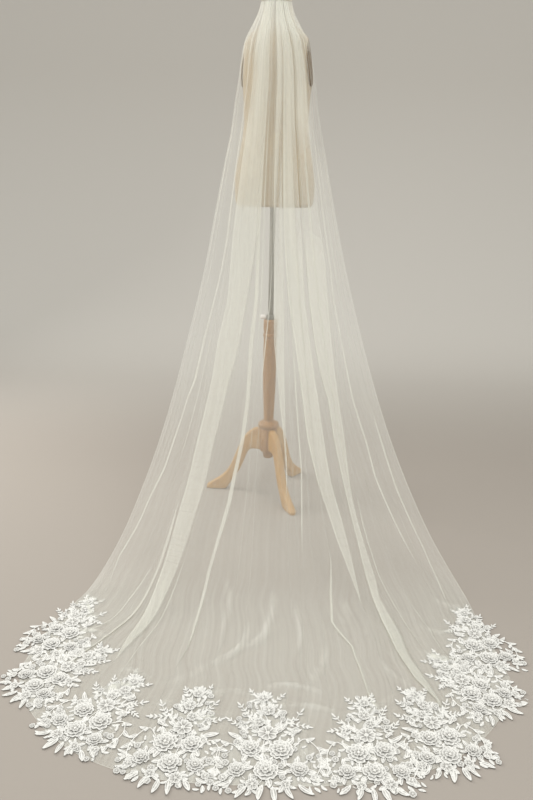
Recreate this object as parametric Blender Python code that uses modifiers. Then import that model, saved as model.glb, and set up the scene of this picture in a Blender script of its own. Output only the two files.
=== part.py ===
"""Bridal veil with a lace hem, on a limbless dress form and its tripod stand.

Metres, +Z up. The train runs towards -Y and the stand is behind it. The origin is
on the floor, in the middle of the whole object's outline. Lengths "forward" are
measured from the stand's axis towards the train.
"""
from math import atan2, cos, hypot, pi, radians, sin, sqrt

import bmesh
import bpy
import numpy as np
from mathutils import Matrix, Vector

# ------------------------------------------------------------------ sizes
STAND_X = -0.006           # stand axis in the object's frame
STAND_Y = 0.664
SEAM = 0.0003              # gap between neighbouring pieces

TULLE = 0.0012             # wall of the net panel
LACE = 0.0015              # wall of a lace spray
PLY = 0.0050               # height between the layers of a fold
PLY_TOP = 0.0030           # the same where the panel is gathered

FORM_YAW = radians(-13.0)  # the torso is turned a little on its pole
FORM_SHIFT = 0.005         # and sits a little to one side of it
TORSO_BASE = 1.172
NECK_TOP = 1.850
ARMHOLE = dict(z=1.650, half_height=0.076, half_depth=0.041, flat=0.1150,
               lean=radians(7.0), plate=0.0070)
POLE_R = 0.0105
POLE_FOOT = 0.645
SLEEVE_TOP = 0.740
SLEEVE_FOOT = 0.3183
HUB_R = 0.0360
LEG_THICK = 0.030
LEG_AZIMUTHS = dict(leg_front=-66.0, leg_left=175.0, leg_right=55.0)

# One row per section of the panel, from the gathered edge to the hem.
#   height: height of the section above the floor
#   mid, side: how far forward its middle and its two ends lie
#   shift, half: where the section is centred across, and half its width
#   power, root: shape of the section, 1 - |x|**power, all to the root
SECTIONS = (
    # height  mid     side    shift   half   power root
    (1.856, 0.0600, 0.0370, -0.002, 0.052, 2.2, 1.00),
    (1.825, 0.0660, 0.0400, -0.002, 0.060, 2.2, 1.00),
    (1.780, 0.0800, 0.0480, 0.000, 0.082, 2.2, 1.00),
    (1.730, 0.1010, 0.0560, 0.004, 0.104, 2.2, 1.00),
    (1.670, 0.1180, 0.0640, 0.007, 0.119, 2.2, 1.00),
    (1.600, 0.1290, 0.0740, 0.009, 0.130, 2.2, 1.00),
    (1.500, 0.1440, 0.0880, 0.007, 0.146, 2.2, 1.00),
    (1.350, 0.1720, 0.1140, 0.006, 0.177, 2.2, 1.00),
    (1.150, 0.2180, 0.1530, 0.007, 0.216, 2.2, 1.00),
    (0.950, 0.2790, 0.2060, 0.011, 0.256, 2.2, 1.00),
    (0.750, 0.3590, 0.2760, 0.014, 0.305, 2.2, 1.00),
    (0.550, 0.4600, 0.3660, 0.019, 0.358, 2.2, 1.00),
    (0.380, 0.5720, 0.4600, 0.024, 0.411, 2.2, 1.00),
    (0.240, 0.6900, 0.5560, 0.029, 0.465, 2.2, 1.00),
    (0.130, 0.8080, 0.6480, 0.034, 0.516, 2.2, 1.00),
    (0.050, 0.9200, 0.7320, 0.037, 0.566, 2.2, 1.00),
    (0.000, 1.0300, 0.8080, 0.034, 0.603, 2.2, 1.00),
    (0.000, 1.1400, 0.9000, 0.018, 0.624, 2.4, 0.95),
    (0.000, 1.2500, 0.9800, 0.010, 0.638, 2.6, 0.90),
    (0.000, 1.3600, 1.0600, 0.004, 0.647, 2.8, 0.85),
    (0.000, 1.4600, 1.1300, 0.001, 0.653, 2.9, 0.80),
    (0.000, 1.5450, 1.1800, 0.000, 0.655, 3.0, 0.75),
)

# The three largest folds, where the net doubles back on itself. One row per
# station down the panel; each fold runs from its left to its right crease, in
# halves of the section's width. A fold is closed where left passes right.
FOLD_STATIONS = (
    # down   left_l left_r  mid_l  mid_r  right_l right_r
    (0.00, -0.62, -0.28, 0.10, 0.36, 0.44, 0.70),
    (0.80, -0.61, -0.27, 0.12, 0.37, 0.45, 0.70),
    (1.00, -0.58, -0.34, 0.16, 0.36, 0.44, 0.66),
    (1.20, -0.61, -0.39, 0.22, 0.37, 0.45, 0.62),
    (1.40, -0.61, -0.46, 0.25, 0.39, 0.475, 0.59),
    (1.60, -0.64, -0.505, 0.285, 0.395, 0.485, 0.56),
    (1.80, -0.66, -0.54, 0.335, 0.420, 0.490, 0.54),
    (1.95, -0.67, -0.55, 0.370, 0.430, 0.490, 0.54),
    (2.10, -0.66, -0.555, 0.425, 0.375, 0.490, 0.535),
    (2.19, -0.66, -0.56, 0.430, 0.360, 0.500, 0.545),
    (2.31, -0.58, -0.63, 0.430, 0.360, 0.545, 0.505),
    (2.70, -0.58, -0.64, 0.430, 0.360, 0.550, 0.500),
)
# How far each fold is raised: full, half where it opens out, then flat.
FOLD_RAISE = dict(left=(2.24, 2.40), mid=(2.00, 2.18), right=(2.24, 2.40))

# Limbless torso: one row per ring. back moves the ring towards the train.
TORSO = (
    # height half_width half_depth back
    (1.172, 0.1380, 0.0980, 0.000),
    (1.180, 0.1470, 0.1050, 0.001),
    (1.215, 0.1520, 0.1100, 0.003),
    (1.270, 0.1510, 0.1110, 0.004),
    (1.340, 0.1400, 0.1020, 0.003),
    (1.410, 0.1250, 0.0900, 0.001),
    (1.465, 0.1190, 0.0850, 0.000),
    (1.530, 0.1210, 0.0920, -0.004),
    (1.590, 0.1260, 0.1010, -0.008),
    (1.640, 0.1290, 0.1030, -0.006),
    (1.690, 0.1275, 0.0970, 0.000),
    (1.725, 0.1210, 0.0870, 0.003),
    (1.750, 0.1080, 0.0760, 0.004),
    (1.770, 0.0880, 0.0660, 0.003),
    (1.788, 0.0660, 0.0570, 0.001),
    (1.808, 0.0550, 0.0515, 0.000),
    (1.850, 0.0505, 0.0495, 0.000),
)

# Lace sprays on the floor. tip and base: across, forward. width: at the flowers.
SPRAYS = (
    # name     tip_x   tip_f  base_x  base_f  width
    ("lace_1", -0.560, 0.860, -0.618, 1.090, 0.145),
    ("lace_2", -0.500, 1.150, -0.650, 1.262, 0.115),
    ("lace_3", -0.345, 1.225, -0.450, 1.400, 0.165),
    ("lace_4", -0.165, 1.250, -0.218, 1.500, 0.185),
    ("lace_5", -0.005, 1.260, 0.012, 1.520, 0.195),
    ("lace_6", 0.240, 1.260, 0.236, 1.515, 0.170),
    ("lace_7", 0.385, 1.235, 0.425, 1.455, 0.150),
    ("lace_8", 0.500, 1.150, 0.588, 1.270, 0.110),
    ("lace_9", 0.612, 0.885, 0.632, 1.120, 0.115),
)
# Half outline of a spray, base to tip: along in spray lengths, out in half widths.
SPRAY_OUTLINE = (
    # along   out
    (-0.11, 0.10),
    (-0.09, 0.45),
    (0.00, 0.62),
    (0.03, 0.88),
    (0.16, 1.00),
    (0.27, 0.84),
    (0.34, 0.60),
    (0.46, 0.72),
    (0.55, 0.42),
    (0.68, 0.34),
    (0.76, 0.50),
    (0.87, 0.30),
    (1.00, 0.07),
)

# Curved leg: centre line and depth of the board, in its own plane.
LEG = (
    # upper edge: out, height; lower edge: out, height
    (0.0368, 0.2843, 0.0368, 0.1880),
    (0.0500, 0.2832, 0.0500, 0.1898),
    (0.0650, 0.2765, 0.0660, 0.1895),
    (0.0800, 0.2655, 0.0790, 0.1840),
    (0.0940, 0.2505, 0.0885, 0.1690),
    (0.1080, 0.2290, 0.0965, 0.1480),
    (0.1210, 0.2025, 0.1050, 0.1250),
    (0.1330, 0.1740, 0.1140, 0.1020),
    (0.1450, 0.1420, 0.1250, 0.0810),
    (0.1580, 0.1110, 0.1380, 0.0610),
    (0.1750, 0.0830, 0.1520, 0.0410),
    (0.1960, 0.0605, 0.1640, 0.0210),
    (0.2200, 0.0425, 0.1740, 0.0060),
    (0.2400, 0.0290, 0.1870, 0.0000),
    (0.2530, 0.0195, 0.2200, 0.0000),
    (0.2593, 0.0125, 0.2580, 0.0000),
)

# ------------------------------------------------------------------ scene
for old in list(bpy.data.objects):
    bpy.data.objects.remove(old, do_unlink=True)

parts = bpy.data.collections.new("bridal_veil_on_dress_form")
cutters = bpy.data.collections.new("cutters")
bpy.context.scene.collection.children.link(parts)
bpy.context.scene.collection.children.link(cutters)


def material(name, colour, roughness=0.6, metallic=0.0, alpha=1.0):
    mat = bpy.data.materials.new(name)
    mat.use_nodes = True
    shader = mat.node_tree.nodes["Principled BSDF"]
    shader.inputs["Base Color"].default_value = (*colour, 1.0)
    shader.inputs["Roughness"].default_value = roughness
    shader.inputs["Metallic"].default_value = metallic
    shader.inputs["Alpha"].default_value = alpha
    return mat


MAT = {
    "tulle": material("tulle", (0.86, 0.82, 0.74), 0.55, 0.0, 0.5),
    "ribbon": material("ribbon", (0.88, 0.85, 0.78), 0.5),
    "lace": material("lace", (0.93, 0.92, 0.89), 0.75),
    "comb": material("comb", (0.85, 0.85, 0.84), 0.25),
    "cover": material("cover", (0.55, 0.42, 0.28), 0.85),
    "plate": material("plate", (0.24, 0.13, 0.07), 0.5),
    "steel": material("steel", (0.16, 0.15, 0.14), 0.35, 0.9),
    "knob": material("knob", (0.80, 0.66, 0.58), 0.4),
    "wood": material("wood", (0.62, 0.38, 0.17), 0.5),
}


def place(across, forward, height):
    """A point by its distance across, forward of the stand and up."""
    return Vector((STAND_X + across, STAND_Y - forward, height))


def finish(obj, mat, smooth=True, angle=40.0):
    obj.data.materials.append(MAT[mat])
    for c in list(obj.users_collection):
        c.objects.unlink(obj)
    parts.objects.link(obj)
    if smooth and obj.type == "MESH":
        obj.data.shade_smooth()
        obj.data.set_sharp_from_angle(angle=radians(angle))
    return obj


def mesh_object(name, points, faces):
    mesh = bpy.data.meshes.new(name)
    mesh.from_pydata([tuple(p) for p in points], [], faces)
    mesh.update()
    return bpy.data.objects.new(name, mesh)


def turned(name, profile, mat, at=(0.0, 0.0), steps=24):
    """A turned piece: profile rows are (radius, height), down the outer side."""
    points = [(r, 0.0, z) for r, z in profile]
    mesh = bpy.data.meshes.new(name)
    mesh.from_pydata(points, [(i, i + 1) for i in range(len(points) - 1)], [])
    obj = bpy.data.objects.new(name, mesh)
    obj.location = place(at[0], at[1], 0.0)
    screw = obj.modifiers.new("turn", "SCREW")
    screw.axis = "Z"
    screw.angle = 2 * pi
    screw.steps = steps
    screw.render_steps = steps
    screw.use_merge_vertices = True
    screw.merge_threshold = 0.00005
    return finish(obj, mat)


# ------------------------------------------------------------------ the panel's form
ROWS = np.array(SECTIONS)
DOWN = np.concatenate([[0.0], np.cumsum(np.hypot(np.diff(ROWS[:, 0]),
                                                 np.diff(ROWS[:, 1])))])
LENGTH = DOWN[-1]


def section(v):
    """The section's sizes at a distance v down the middle of the panel."""
    v = min(max(v, 0.0), LENGTH)
    return [float(np.interp(v, DOWN, ROWS[:, k])) for k in range(7)]


def section_curve(v, n=181):
    height, mid, side, shift, half, power, root = section(v)
    x = np.sin(np.linspace(-pi / 2, pi / 2, n))
    forward = side + (mid - side) * np.clip(1 - np.abs(x) ** power, 0, 1) ** root
    pts = np.stack([shift + half * x, forward, np.full(n, height)], axis=1)
    run = np.concatenate([[0.0], np.cumsum(np.linalg.norm(np.diff(pts, axis=0), axis=1))])
    return pts, run


def torso_ring(z):
    t = np.array(TORSO)
    return [float(np.interp(z, t[:, 0], t[:, k])) for k in (1, 2, 3)]


def off_torso(p, clear):
    """Moves a point of the panel out until it is clear of the torso."""
    if not TORSO_BASE - 0.05 < p[2] < NECK_TOP + 0.01:
        return p
    a, b, back = torso_ring(p[2])
    c, s = cos(FORM_YAW), sin(FORM_YAW)
    # across, towards the rear, turned into the torso's own axes
    x, y = p[0] - FORM_SHIFT, -p[1]
    lx, ly = c * x + s * y, -s * x + c * y + back
    reach = hypot(lx / (a + clear), ly / (b + clear))
    if reach < 1.0:
        p = np.array([FORM_SHIFT + x / reach, p[1] / reach, p[2]])
    return p


def base_point(u, v, clear=0.006):
    pts, run = section_curve(v)
    w = (min(max(u, -1.0), 1.0) + 1) / 2 * run[-1]
    p = np.array([np.interp(w, run, pts[:, k]) for k in range(3)])
    return off_torso(p, clear), run[-1]


def base_frame(u, v):
    """Point, outward normal and width of the section there."""
    p, width = base_point(u, v)
    if v >= DOWN[16] - 1e-6:
        return p, np.array([0.0, 0.0, 1.0]), width
    d = 0.02
    across = base_point(min(u + d, 1), v)[0] - base_point(max(u - d, -1), v)[0]
    along = base_point(u, min(v + d, LENGTH))[0] - base_point(u, max(v - d, 0))[0]
    n = np.cross(across, along)
    n /= np.linalg.norm(n)
    if n[1] < 0:
        n = -n
    return p, n, width


FOLDS = np.array(FOLD_STATIONS)


def creases(v):
    """Left and right crease of each fold."""
    k = [float(np.interp(v, FOLDS[:, 0], FOLDS[:, i])) for i in range(1, 7)]
    return dict(left=k[0:2], mid=k[2:4], right=k[4:6])


def raised(name, v):
    full, flat = FOLD_RAISE[name]
    return float(np.interp(v, (full, (full + flat) / 2, flat), (1.0, 0.5, 0.0)))


def blend(x, lo, hi):
    t = min(max((x - lo) / (hi - lo), 0.0), 1.0)
    return t * t * (3 - 2 * t)


def panel_row(v):
    """Columns of one row: (u, height over the base, pleat share)."""
    fold = creases(v)
    width = section_curve(v)[1][-1]
    ply = PLY_TOP + (PLY - PLY_TOP) * blend(v, 0.0, 0.4)
    nose = 0.45 * ply / (width / 2)
    up = {k: 2 * raised(k, v) for k in fold}
    cols = []
    turned_over = {k: min(max((hi - lo) / 0.03, -1.0), 1.0) for k, (lo, hi) in fold.items()}

    def open_share(u):
        share = 1.0
        for lo, hi in fold.values():
            if hi > lo:
                share *= 1 - blend(u, lo - 0.07, lo - 0.02) * (1 - blend(u, hi + 0.02, hi + 0.07))
        return share

    def run(u0, u1, n, level, pleats):
        for i in range(n):
            u = u0 + (u1 - u0) * i / (n - 1)
            cols.append((u, level(u) * ply, open_share(u) if pleats and 0 < i < n - 1 else 0.0))

    def crease(u, over, levels):
        """Two columns round a crease; side by side where the fold is closed."""
        side = nose / 3 * max(-over, 0.0)
        for shift, level in zip((-side, side), levels):
            cols.append((u + shift, level * ply, 0.0))

    def fold_back(name, low, high):
        """Right crease, the layer that runs back, and left crease, ever higher
        (or lower), so that the fold can open out to a plain panel."""
        left, right = fold[name]
        over = turned_over[name]
        at = [low + (high - low) * s for s in (0.125, 0.30, 0.425, 0.475, 0.525, 0.575, 0.70, 0.875)]
        crease(right, over, at[0:2])
        a, b = right - nose * over, left + nose * over
        for i in range(4):
            cols.append((a + (b - a) * i / 3, at[2 + i] * ply, 0.0))
        crease(left, over, at[6:8])

    (al, ar), (dl, dr), (el, er) = fold["left"], fold["mid"], fold["right"]
    hi_a, hi_d, hi_e = up["left"], up["mid"], up["right"]
    run(-1.0, ar - nose, 11, lambda u: 0.0, True)
    fold_back("left", 0.0, hi_a)
    run(al + nose, dr - nose, 18,
        lambda u: hi_a + (hi_d - hi_a) * blend(u, max(al, ar) + 0.02, min(dl, dr) - 0.02), True)
    fold_back("mid", hi_d, 0.0)
    run(dl + nose, er - nose, 7, lambda u: 0.0, False)
    fold_back("right", 0.0, hi_e)
    run(el + nose, 1.0, 12,
        lambda u: hi_e * (1 - blend(u, max(el, er) + 0.03, max(el, er) + 0.16)), True)
    return cols


def pleat_height(v):
    return float(np.interp(v, (0.0, 0.3, 1.0, 1.6, 2.0, 2.15), (0.0018, 0.0034, 0.0050, 0.0045, 0.0020, 0.0)))


def tulle_panel():
    grid = []
    for v in DOWN:
        row = []
        for k, (u, lift, share) in enumerate(panel_row(v)):
            p, n, width = base_frame(u, v)
            wave = (0.0, 1.0, 0.0, -0.35)[k % 4] * pleat_height(v) * share
            q = p + n * (lift + wave)
            row.append((q[0], q[1], max(q[2], 0.0) + TULLE / 2))
        grid.append(row)
    columns = len(grid[0])
    points = [place(*q) for row in grid for q in row]
    faces = []
    for j in range(len(grid) - 1):
        for i in range(columns - 1):
            a = j * columns + i
            faces.append((a, a + columns, a + columns + 1, a + 1))
    obj = mesh_object("tulle_panel", points, faces)
    wall = obj.modifiers.new("wall", "SOLIDIFY")
    wall.thickness = TULLE
    wall.offset = 0.0
    return finish(obj, "tulle", smooth=False)


def bound_edge():
    """A narrow roll over the gathers, along the top section."""
    radius = 0.0042
    pts = []
    for i in range(15):
        p, n, _ = base_frame(-0.97 + 1.94 * i / 14, 0.0)
        flat = np.array([n[0], n[1], 0.0])
        q = p + flat / np.linalg.norm(flat) * PLY_TOP
        pts.append(place(q[0], q[1], q[2] + TULLE + radius + SEAM))
    curve = bpy.data.curves.new("bound_edge", "CURVE")
    curve.dimensions = "3D"
    spline = curve.splines.new("POLY")
    spline.points.add(len(pts) - 1)
    for sp, p in zip(spline.points, pts):
        sp.co = (*p, 1.0)
    curve.bevel_depth = radius
    curve.bevel_resolution = 2
    curve.use_fill_caps = True
    obj = bpy.data.objects.new("bound_edge", curve)
    return finish(obj, "ribbon")


def comb():
    """Back bar and teeth, as one bent sheet of wall, behind the gathers."""
    teeth, bar_top, bar_foot, tooth_foot = 13, 1.8540, 1.8430, 1.8190
    behind = 0.0038
    stops = 2 * teeth - 1
    us = [-0.84 + 1.68 * k / stops for k in range(stops + 1)]
    levels = (bar_top, bar_foot, tooth_foot)
    points, faces = [], []
    for u in us:
        p, n, _ = base_frame(u, 0.0)
        flat = np.array([n[0], n[1], 0.0])
        q = p - flat / np.linalg.norm(flat) * behind
        for z in levels:
            points.append(place(q[0], q[1], z))
    for k in range(stops):
        a, b = 3 * k, 3 * (k + 1)
        faces.append((a, a + 1, b + 1, b))
        if k % 2 == 0:
            faces.append((a + 1, a + 2, b + 2, b + 1))
    obj = mesh_object("comb", points, faces)
    wall = obj.modifiers.new("wall", "SOLIDIFY")
    wall.thickness = 0.0018
    wall.offset = 0.0
    return finish(obj, "comb", smooth=False)


def lace_spray(name, tip_x, tip_f, base_x, base_f, width):
    """A flat wall of lace on the panel, outlined like a spray of flowers."""
    along = np.array([tip_x - base_x, tip_f - base_f])
    length = float(np.linalg.norm(along))
    along /= length
    out = np.array([-along[1], along[0]])
    outline = []
    for side in (1, -1):
        rows = SPRAY_OUTLINE if side == 1 else SPRAY_OUTLINE[::-1]
        for t, w in rows:
            p = np.array([base_x, base_f]) + along * t * length + out * side * w * width / 2
            outline.append(p)
    curve = bpy.data.curves.new(name, "CURVE")
    curve.dimensions = "2D"
    curve.fill_mode = "BOTH"
    curve.extrude = LACE / 2
    spline = curve.splines.new("POLY")
    spline.points.add(len(outline) - 1)
    for sp, p in zip(spline.points, outline):
        w = place(p[0], p[1], 0.0)
        sp.co = (w.x, w.y, 0.0, 1.0)
    spline.use_cyclic_u = True
    obj = bpy.data.objects.new(name, curve)
    obj.location = (0.0, 0.0, TULLE + SEAM + LACE / 2)
    return finish(obj, "lace")


# ------------------------------------------------------------------ the dress form
def torso():
    around = 28
    points, faces = [], []
    for z, a, b, back in TORSO:
        for i in range(around):
            t = 2 * pi * i / around
            points.append((a * cos(t), b * sin(t) - back, z))
    for j in range(len(TORSO) - 1):
        for i in range(around):
            p, q = j * around + i, j * around + (i + 1) % around
            faces.append((p, q, q + around, p + around))
    faces.append(tuple(range(around - 1, -1, -1)))
    top = (len(TORSO) - 1) * around
    faces.append(tuple(range(top, top + around)))
    obj = mesh_object("torso", points, faces)
    obj.location = place(FORM_SHIFT, 0, 0)
    obj.rotation_euler = (0, 0, FORM_YAW)
    finish(obj, "cover", angle=55)
    for side in (1, -1):
        cut = armhole_disc("cut", side, ARMHOLE["flat"], 0.08, 0.0)
        for c in list(cut.users_collection):
            c.objects.unlink(cut)
        cutters.objects.link(cut)
        cut.hide_render = True
        cut.display_type = "WIRE"
        hole = obj.modifiers.new("armhole", "BOOLEAN")
        hole.operation = "DIFFERENCE"
        hole.solver = "EXACT"
        hole.object = cut
    return obj


def armhole_disc(name, side, start, depth, inset):
    """An oval disc on the torso's side, its inner face at start."""
    bpy.ops.mesh.primitive_cylinder_add(vertices=28, radius=1.0, depth=1.0)
    obj = bpy.context.active_object
    obj.name = name
    height, deep = ARMHOLE["half_height"] - inset, ARMHOLE["half_depth"] - inset
    shape = (Matrix.Translation((0, 0, ARMHOLE["z"]))
             @ Matrix.Rotation(-side * ARMHOLE["lean"], 4, "Y")
             @ Matrix.Translation((side * (start + depth / 2), 0, 0))
             @ Matrix.Diagonal((depth, deep, height, 1.0))
             @ Matrix.Rotation(pi / 2, 4, "Y"))
    obj.data.transform(shape)
    if shape.determinant() < 0:
        obj.data.flip_normals()
    obj.location = place(FORM_SHIFT, 0, 0)
    obj.rotation_euler = (0, 0, FORM_YAW)
    return obj


def armhole_plate(name, side):
    obj = armhole_disc(name, side, ARMHOLE["flat"] + SEAM, ARMHOLE["plate"], 0.0006)
    bevel = obj.modifiers.new("edge", "BEVEL")
    bevel.width = 0.0018
    bevel.segments = 2
    bevel.limit_method = "ANGLE"
    return finish(obj, "plate")


# ------------------------------------------------------------------ the stand
def leg(name, azimuth):
    rows = np.array(LEG)
    fine = np.linspace(0, len(rows) - 1, 41)
    step = np.gradient(rows, axis=0)

    def at(t):
        k = min(int(t), len(rows) - 2)
        f = t - k
        a, b, da, db = rows[k], rows[k + 1], step[k], step[k + 1]
        return ((2 * f ** 3 - 3 * f ** 2 + 1) * a + (f ** 3 - 2 * f ** 2 + f) * da
                + (-2 * f ** 3 + 3 * f ** 2) * b + (f ** 3 - f ** 2) * db)

    upper, lower = [], []
    for t in fine:
        p = at(t)
        upper.append((p[0], max(p[1], 0.0)))
        lower.append((p[2], max(p[3], 0.0)))
    outline = upper + lower[::-1]
    curve = bpy.data.curves.new(name, "CURVE")
    curve.dimensions = "2D"
    curve.fill_mode = "BOTH"
    curve.extrude = LEG_THICK / 2
    spline = curve.splines.new("POLY")
    spline.points.add(len(outline) - 1)
    for sp, p in zip(spline.points, outline):
        sp.co = (p[0], p[1], 0.0, 1.0)
    spline.use_cyclic_u = True
    obj = bpy.data.objects.new(name, curve)
    obj.matrix_world = (Matrix.Translation(place(0, 0, 0))
                        @ Matrix.Rotation(radians(azimuth), 4, "Z")
                        @ Matrix.Rotation(pi / 2, 4, "X"))
    weld = obj.modifiers.new("weld", "WELD")
    weld.merge_threshold = 0.00005
    return finish(obj, "wood")


def stand():
    turned("neck_plate", [(0.0, NECK_TOP + 0.0065), (0.0465, NECK_TOP + 0.0065),
                          (0.0485, NECK_TOP + 0.0045), (0.0485, NECK_TOP + SEAM),
                          (0.0, NECK_TOP + SEAM)], "plate")
    turned("pole", [(0.0, TORSO_BASE - SEAM), (POLE_R, TORSO_BASE - SEAM),
                    (POLE_R, POLE_FOOT), (0.0, POLE_FOOT)], "steel", steps=16)
    bore = POLE_R + SEAM
    turned("clamp_ring", [(bore, SLEEVE_TOP + SEAM), (bore, SLEEVE_TOP + 0.018),
                          (0.0140, SLEEVE_TOP + 0.018), (0.0158, SLEEVE_TOP + 0.016),
                          (0.0158, SLEEVE_TOP + SEAM), (bore, SLEEVE_TOP + SEAM)], "steel")
    turned("sleeve", [(0.0, POLE_FOOT - SEAM), (bore, POLE_FOOT - SEAM),
                      (bore, SLEEVE_TOP), (0.0245, SLEEVE_TOP), (0.0272, SLEEVE_TOP - 0.006),
                      (0.0276, SLEEVE_TOP - 0.030), (0.0262, SLEEVE_TOP - 0.052),
                      (0.0285, SLEEVE_TOP - 0.060), (0.0285, SLEEVE_TOP - 0.068),
                      (0.0258, SLEEVE_TOP - 0.076), (0.0266, 0.560), (0.0258, 0.480),
                      (0.0232, 0.400), (0.0206, 0.335), (0.0206, SLEEVE_FOOT),
                      (0.0, SLEEVE_FOOT)], "wood")
    turned("collar", [(0.0, SLEEVE_FOOT - SEAM), (0.0235, SLEEVE_FOOT - SEAM),
                      (0.0290, 0.3125), (0.0395, 0.3080), (0.0433, 0.3025), (0.0433, 0.2955),
                      (0.0375, 0.2850), (0.0, 0.2850)], "wood")
    turned("hub", [(0.0, 0.2847), (HUB_R, 0.2847), (HUB_R, 0.1880), (0.0335, 0.1850),
                   (0.0225, 0.1840), (0.0215, 0.1600), (0.0185, 0.1540), (0.0, 0.1530)], "wood")
    for name, azimuth in LEG_AZIMUTHS.items():
        leg(name, azimuth)
    bpy.ops.mesh.primitive_cylinder_add(vertices=18, radius=0.0085, depth=0.024)
    knob = bpy.context.active_object
    knob.name = "clamp_knob"
    knob.data.transform(Matrix.Rotation(pi / 2, 4, "Y"))
    knob.location = place(-(0.0158 + SEAM + 0.012), 0.0, SLEEVE_TOP + 0.0098)
    bevel = knob.modifiers.new("edge", "BEVEL")
    bevel.width = 0.0025
    bevel.segments = 2
    bevel.limit_method = "ANGLE"
    finish(knob, "knob")


tulle_panel()
bound_edge()
comb()
for row in SPRAYS:
    lace_spray(*row)
torso()
armhole_plate("armhole_plate_right", 1)
armhole_plate("armhole_plate_left", -1)
stand()
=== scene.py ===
"""Bridal veil with a lace hem, draped down a limbless dress form on its tripod stand.

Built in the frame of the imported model: metres, +Z up, the train towards -Y.
"Across" and "forward" are measured from the stand's axis, as in the model.
"""
from math import atan2, cos, hypot, pi, radians, sin, sqrt

import bpy
import numpy as np
from mathutils import Matrix, Vector

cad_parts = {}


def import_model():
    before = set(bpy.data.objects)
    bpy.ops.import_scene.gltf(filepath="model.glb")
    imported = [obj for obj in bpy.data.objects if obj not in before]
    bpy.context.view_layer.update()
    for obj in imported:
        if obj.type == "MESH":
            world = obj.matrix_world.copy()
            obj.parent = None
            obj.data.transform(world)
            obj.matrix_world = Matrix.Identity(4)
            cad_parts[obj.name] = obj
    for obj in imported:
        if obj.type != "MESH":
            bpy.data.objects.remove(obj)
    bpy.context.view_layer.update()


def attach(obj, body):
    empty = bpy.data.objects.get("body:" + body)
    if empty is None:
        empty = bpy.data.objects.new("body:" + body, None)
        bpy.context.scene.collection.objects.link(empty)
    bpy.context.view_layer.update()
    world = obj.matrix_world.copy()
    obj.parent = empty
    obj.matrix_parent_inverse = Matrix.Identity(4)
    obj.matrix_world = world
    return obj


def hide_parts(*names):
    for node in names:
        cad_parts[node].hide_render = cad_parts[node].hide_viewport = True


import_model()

STAND_X, STAND_Y = -0.006, 0.664
CUT_WIDTH, LENGTH = 1.55, 2.6951


def world(p):
    """Across, forward, up to the model's frame, for any array of points."""
    p = np.asarray(p, float)
    out = np.empty_like(p)
    out[..., 0] = STAND_X + p[..., 0]
    out[..., 1] = STAND_Y - p[..., 1]
    out[..., 2] = p[..., 2]
    return out


def smooth(x, lo=0.0, hi=1.0):
    t = np.clip((np.asarray(x, float) - lo) / (hi - lo), 0.0, 1.0)
    return t * t * (3 - 2 * t)


# ------------------------------------------------------------------ materials
def srgb(r, g, b):
    return tuple(((c / 255 + 0.055) / 1.055) ** 2.4 if c > 10 else c / 255 / 12.92 for c in (r, g, b))


class Nodes:
    """Small helper to wire a material's nodes."""

    def __init__(self, name):
        self.mat = bpy.data.materials.new(name)
        self.mat.use_nodes = True
        self.tree = self.mat.node_tree
        self.tree.nodes.clear()
        self.out = self.tree.nodes.new("ShaderNodeOutputMaterial")

    def node(self, kind, inputs=None, **props):
        n = self.tree.nodes.new(kind)
        for k, v in props.items():
            setattr(n, k, v)
        for k, v in (inputs or {}).items():
            self.put(n.inputs[k], v)
        return n

    def put(self, socket, value):
        if isinstance(value, bpy.types.NodeSocket):
            self.tree.links.new(value, socket)
        else:
            socket.default_value = value

    def math(self, op, a, b=None, c=None, clamp=False):
        n = self.tree.nodes.new("ShaderNodeMath")
        n.operation = op
        n.use_clamp = clamp
        for i, v in enumerate((a, b, c)):
            if v is not None:
                self.put(n.inputs[i], v)
        return n.outputs[0]

    def noise(self, vector, scale, detail=3.0, rough=0.55, out="Fac"):
        n = self.node("ShaderNodeTexNoise", {"Vector": vector, "Scale": scale, "Detail": detail,
                                             "Roughness": rough})
        return n.outputs[out]

    def mapping(self, vector, scale=(1, 1, 1), rotation=(0, 0, 0), location=(0, 0, 0)):
        return self.node("ShaderNodeMapping", {"Vector": vector, "Scale": scale, "Rotation": rotation,
                                               "Location": location}).outputs[0]

    def ramp(self, fac, stops):
        n = self.tree.nodes.new("ShaderNodeValToRGB")
        while len(n.color_ramp.elements) < len(stops):
            n.color_ramp.elements.new(0.5)
        for e, (pos, col) in zip(n.color_ramp.elements, stops):
            e.position = pos
            e.color = (*col, 1.0) if len(col) == 3 else col
        self.put(n.inputs[0], fac)
        return n.outputs[0]

    def bump(self, height, strength, distance):
        n = self.node("ShaderNodeBump", {"Height": height, "Strength": strength, "Distance": distance})
        return n.outputs[0]

    def surface(self, shader):
        self.tree.links.new(shader, self.out.inputs["Surface"])
        return self.mat


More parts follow.
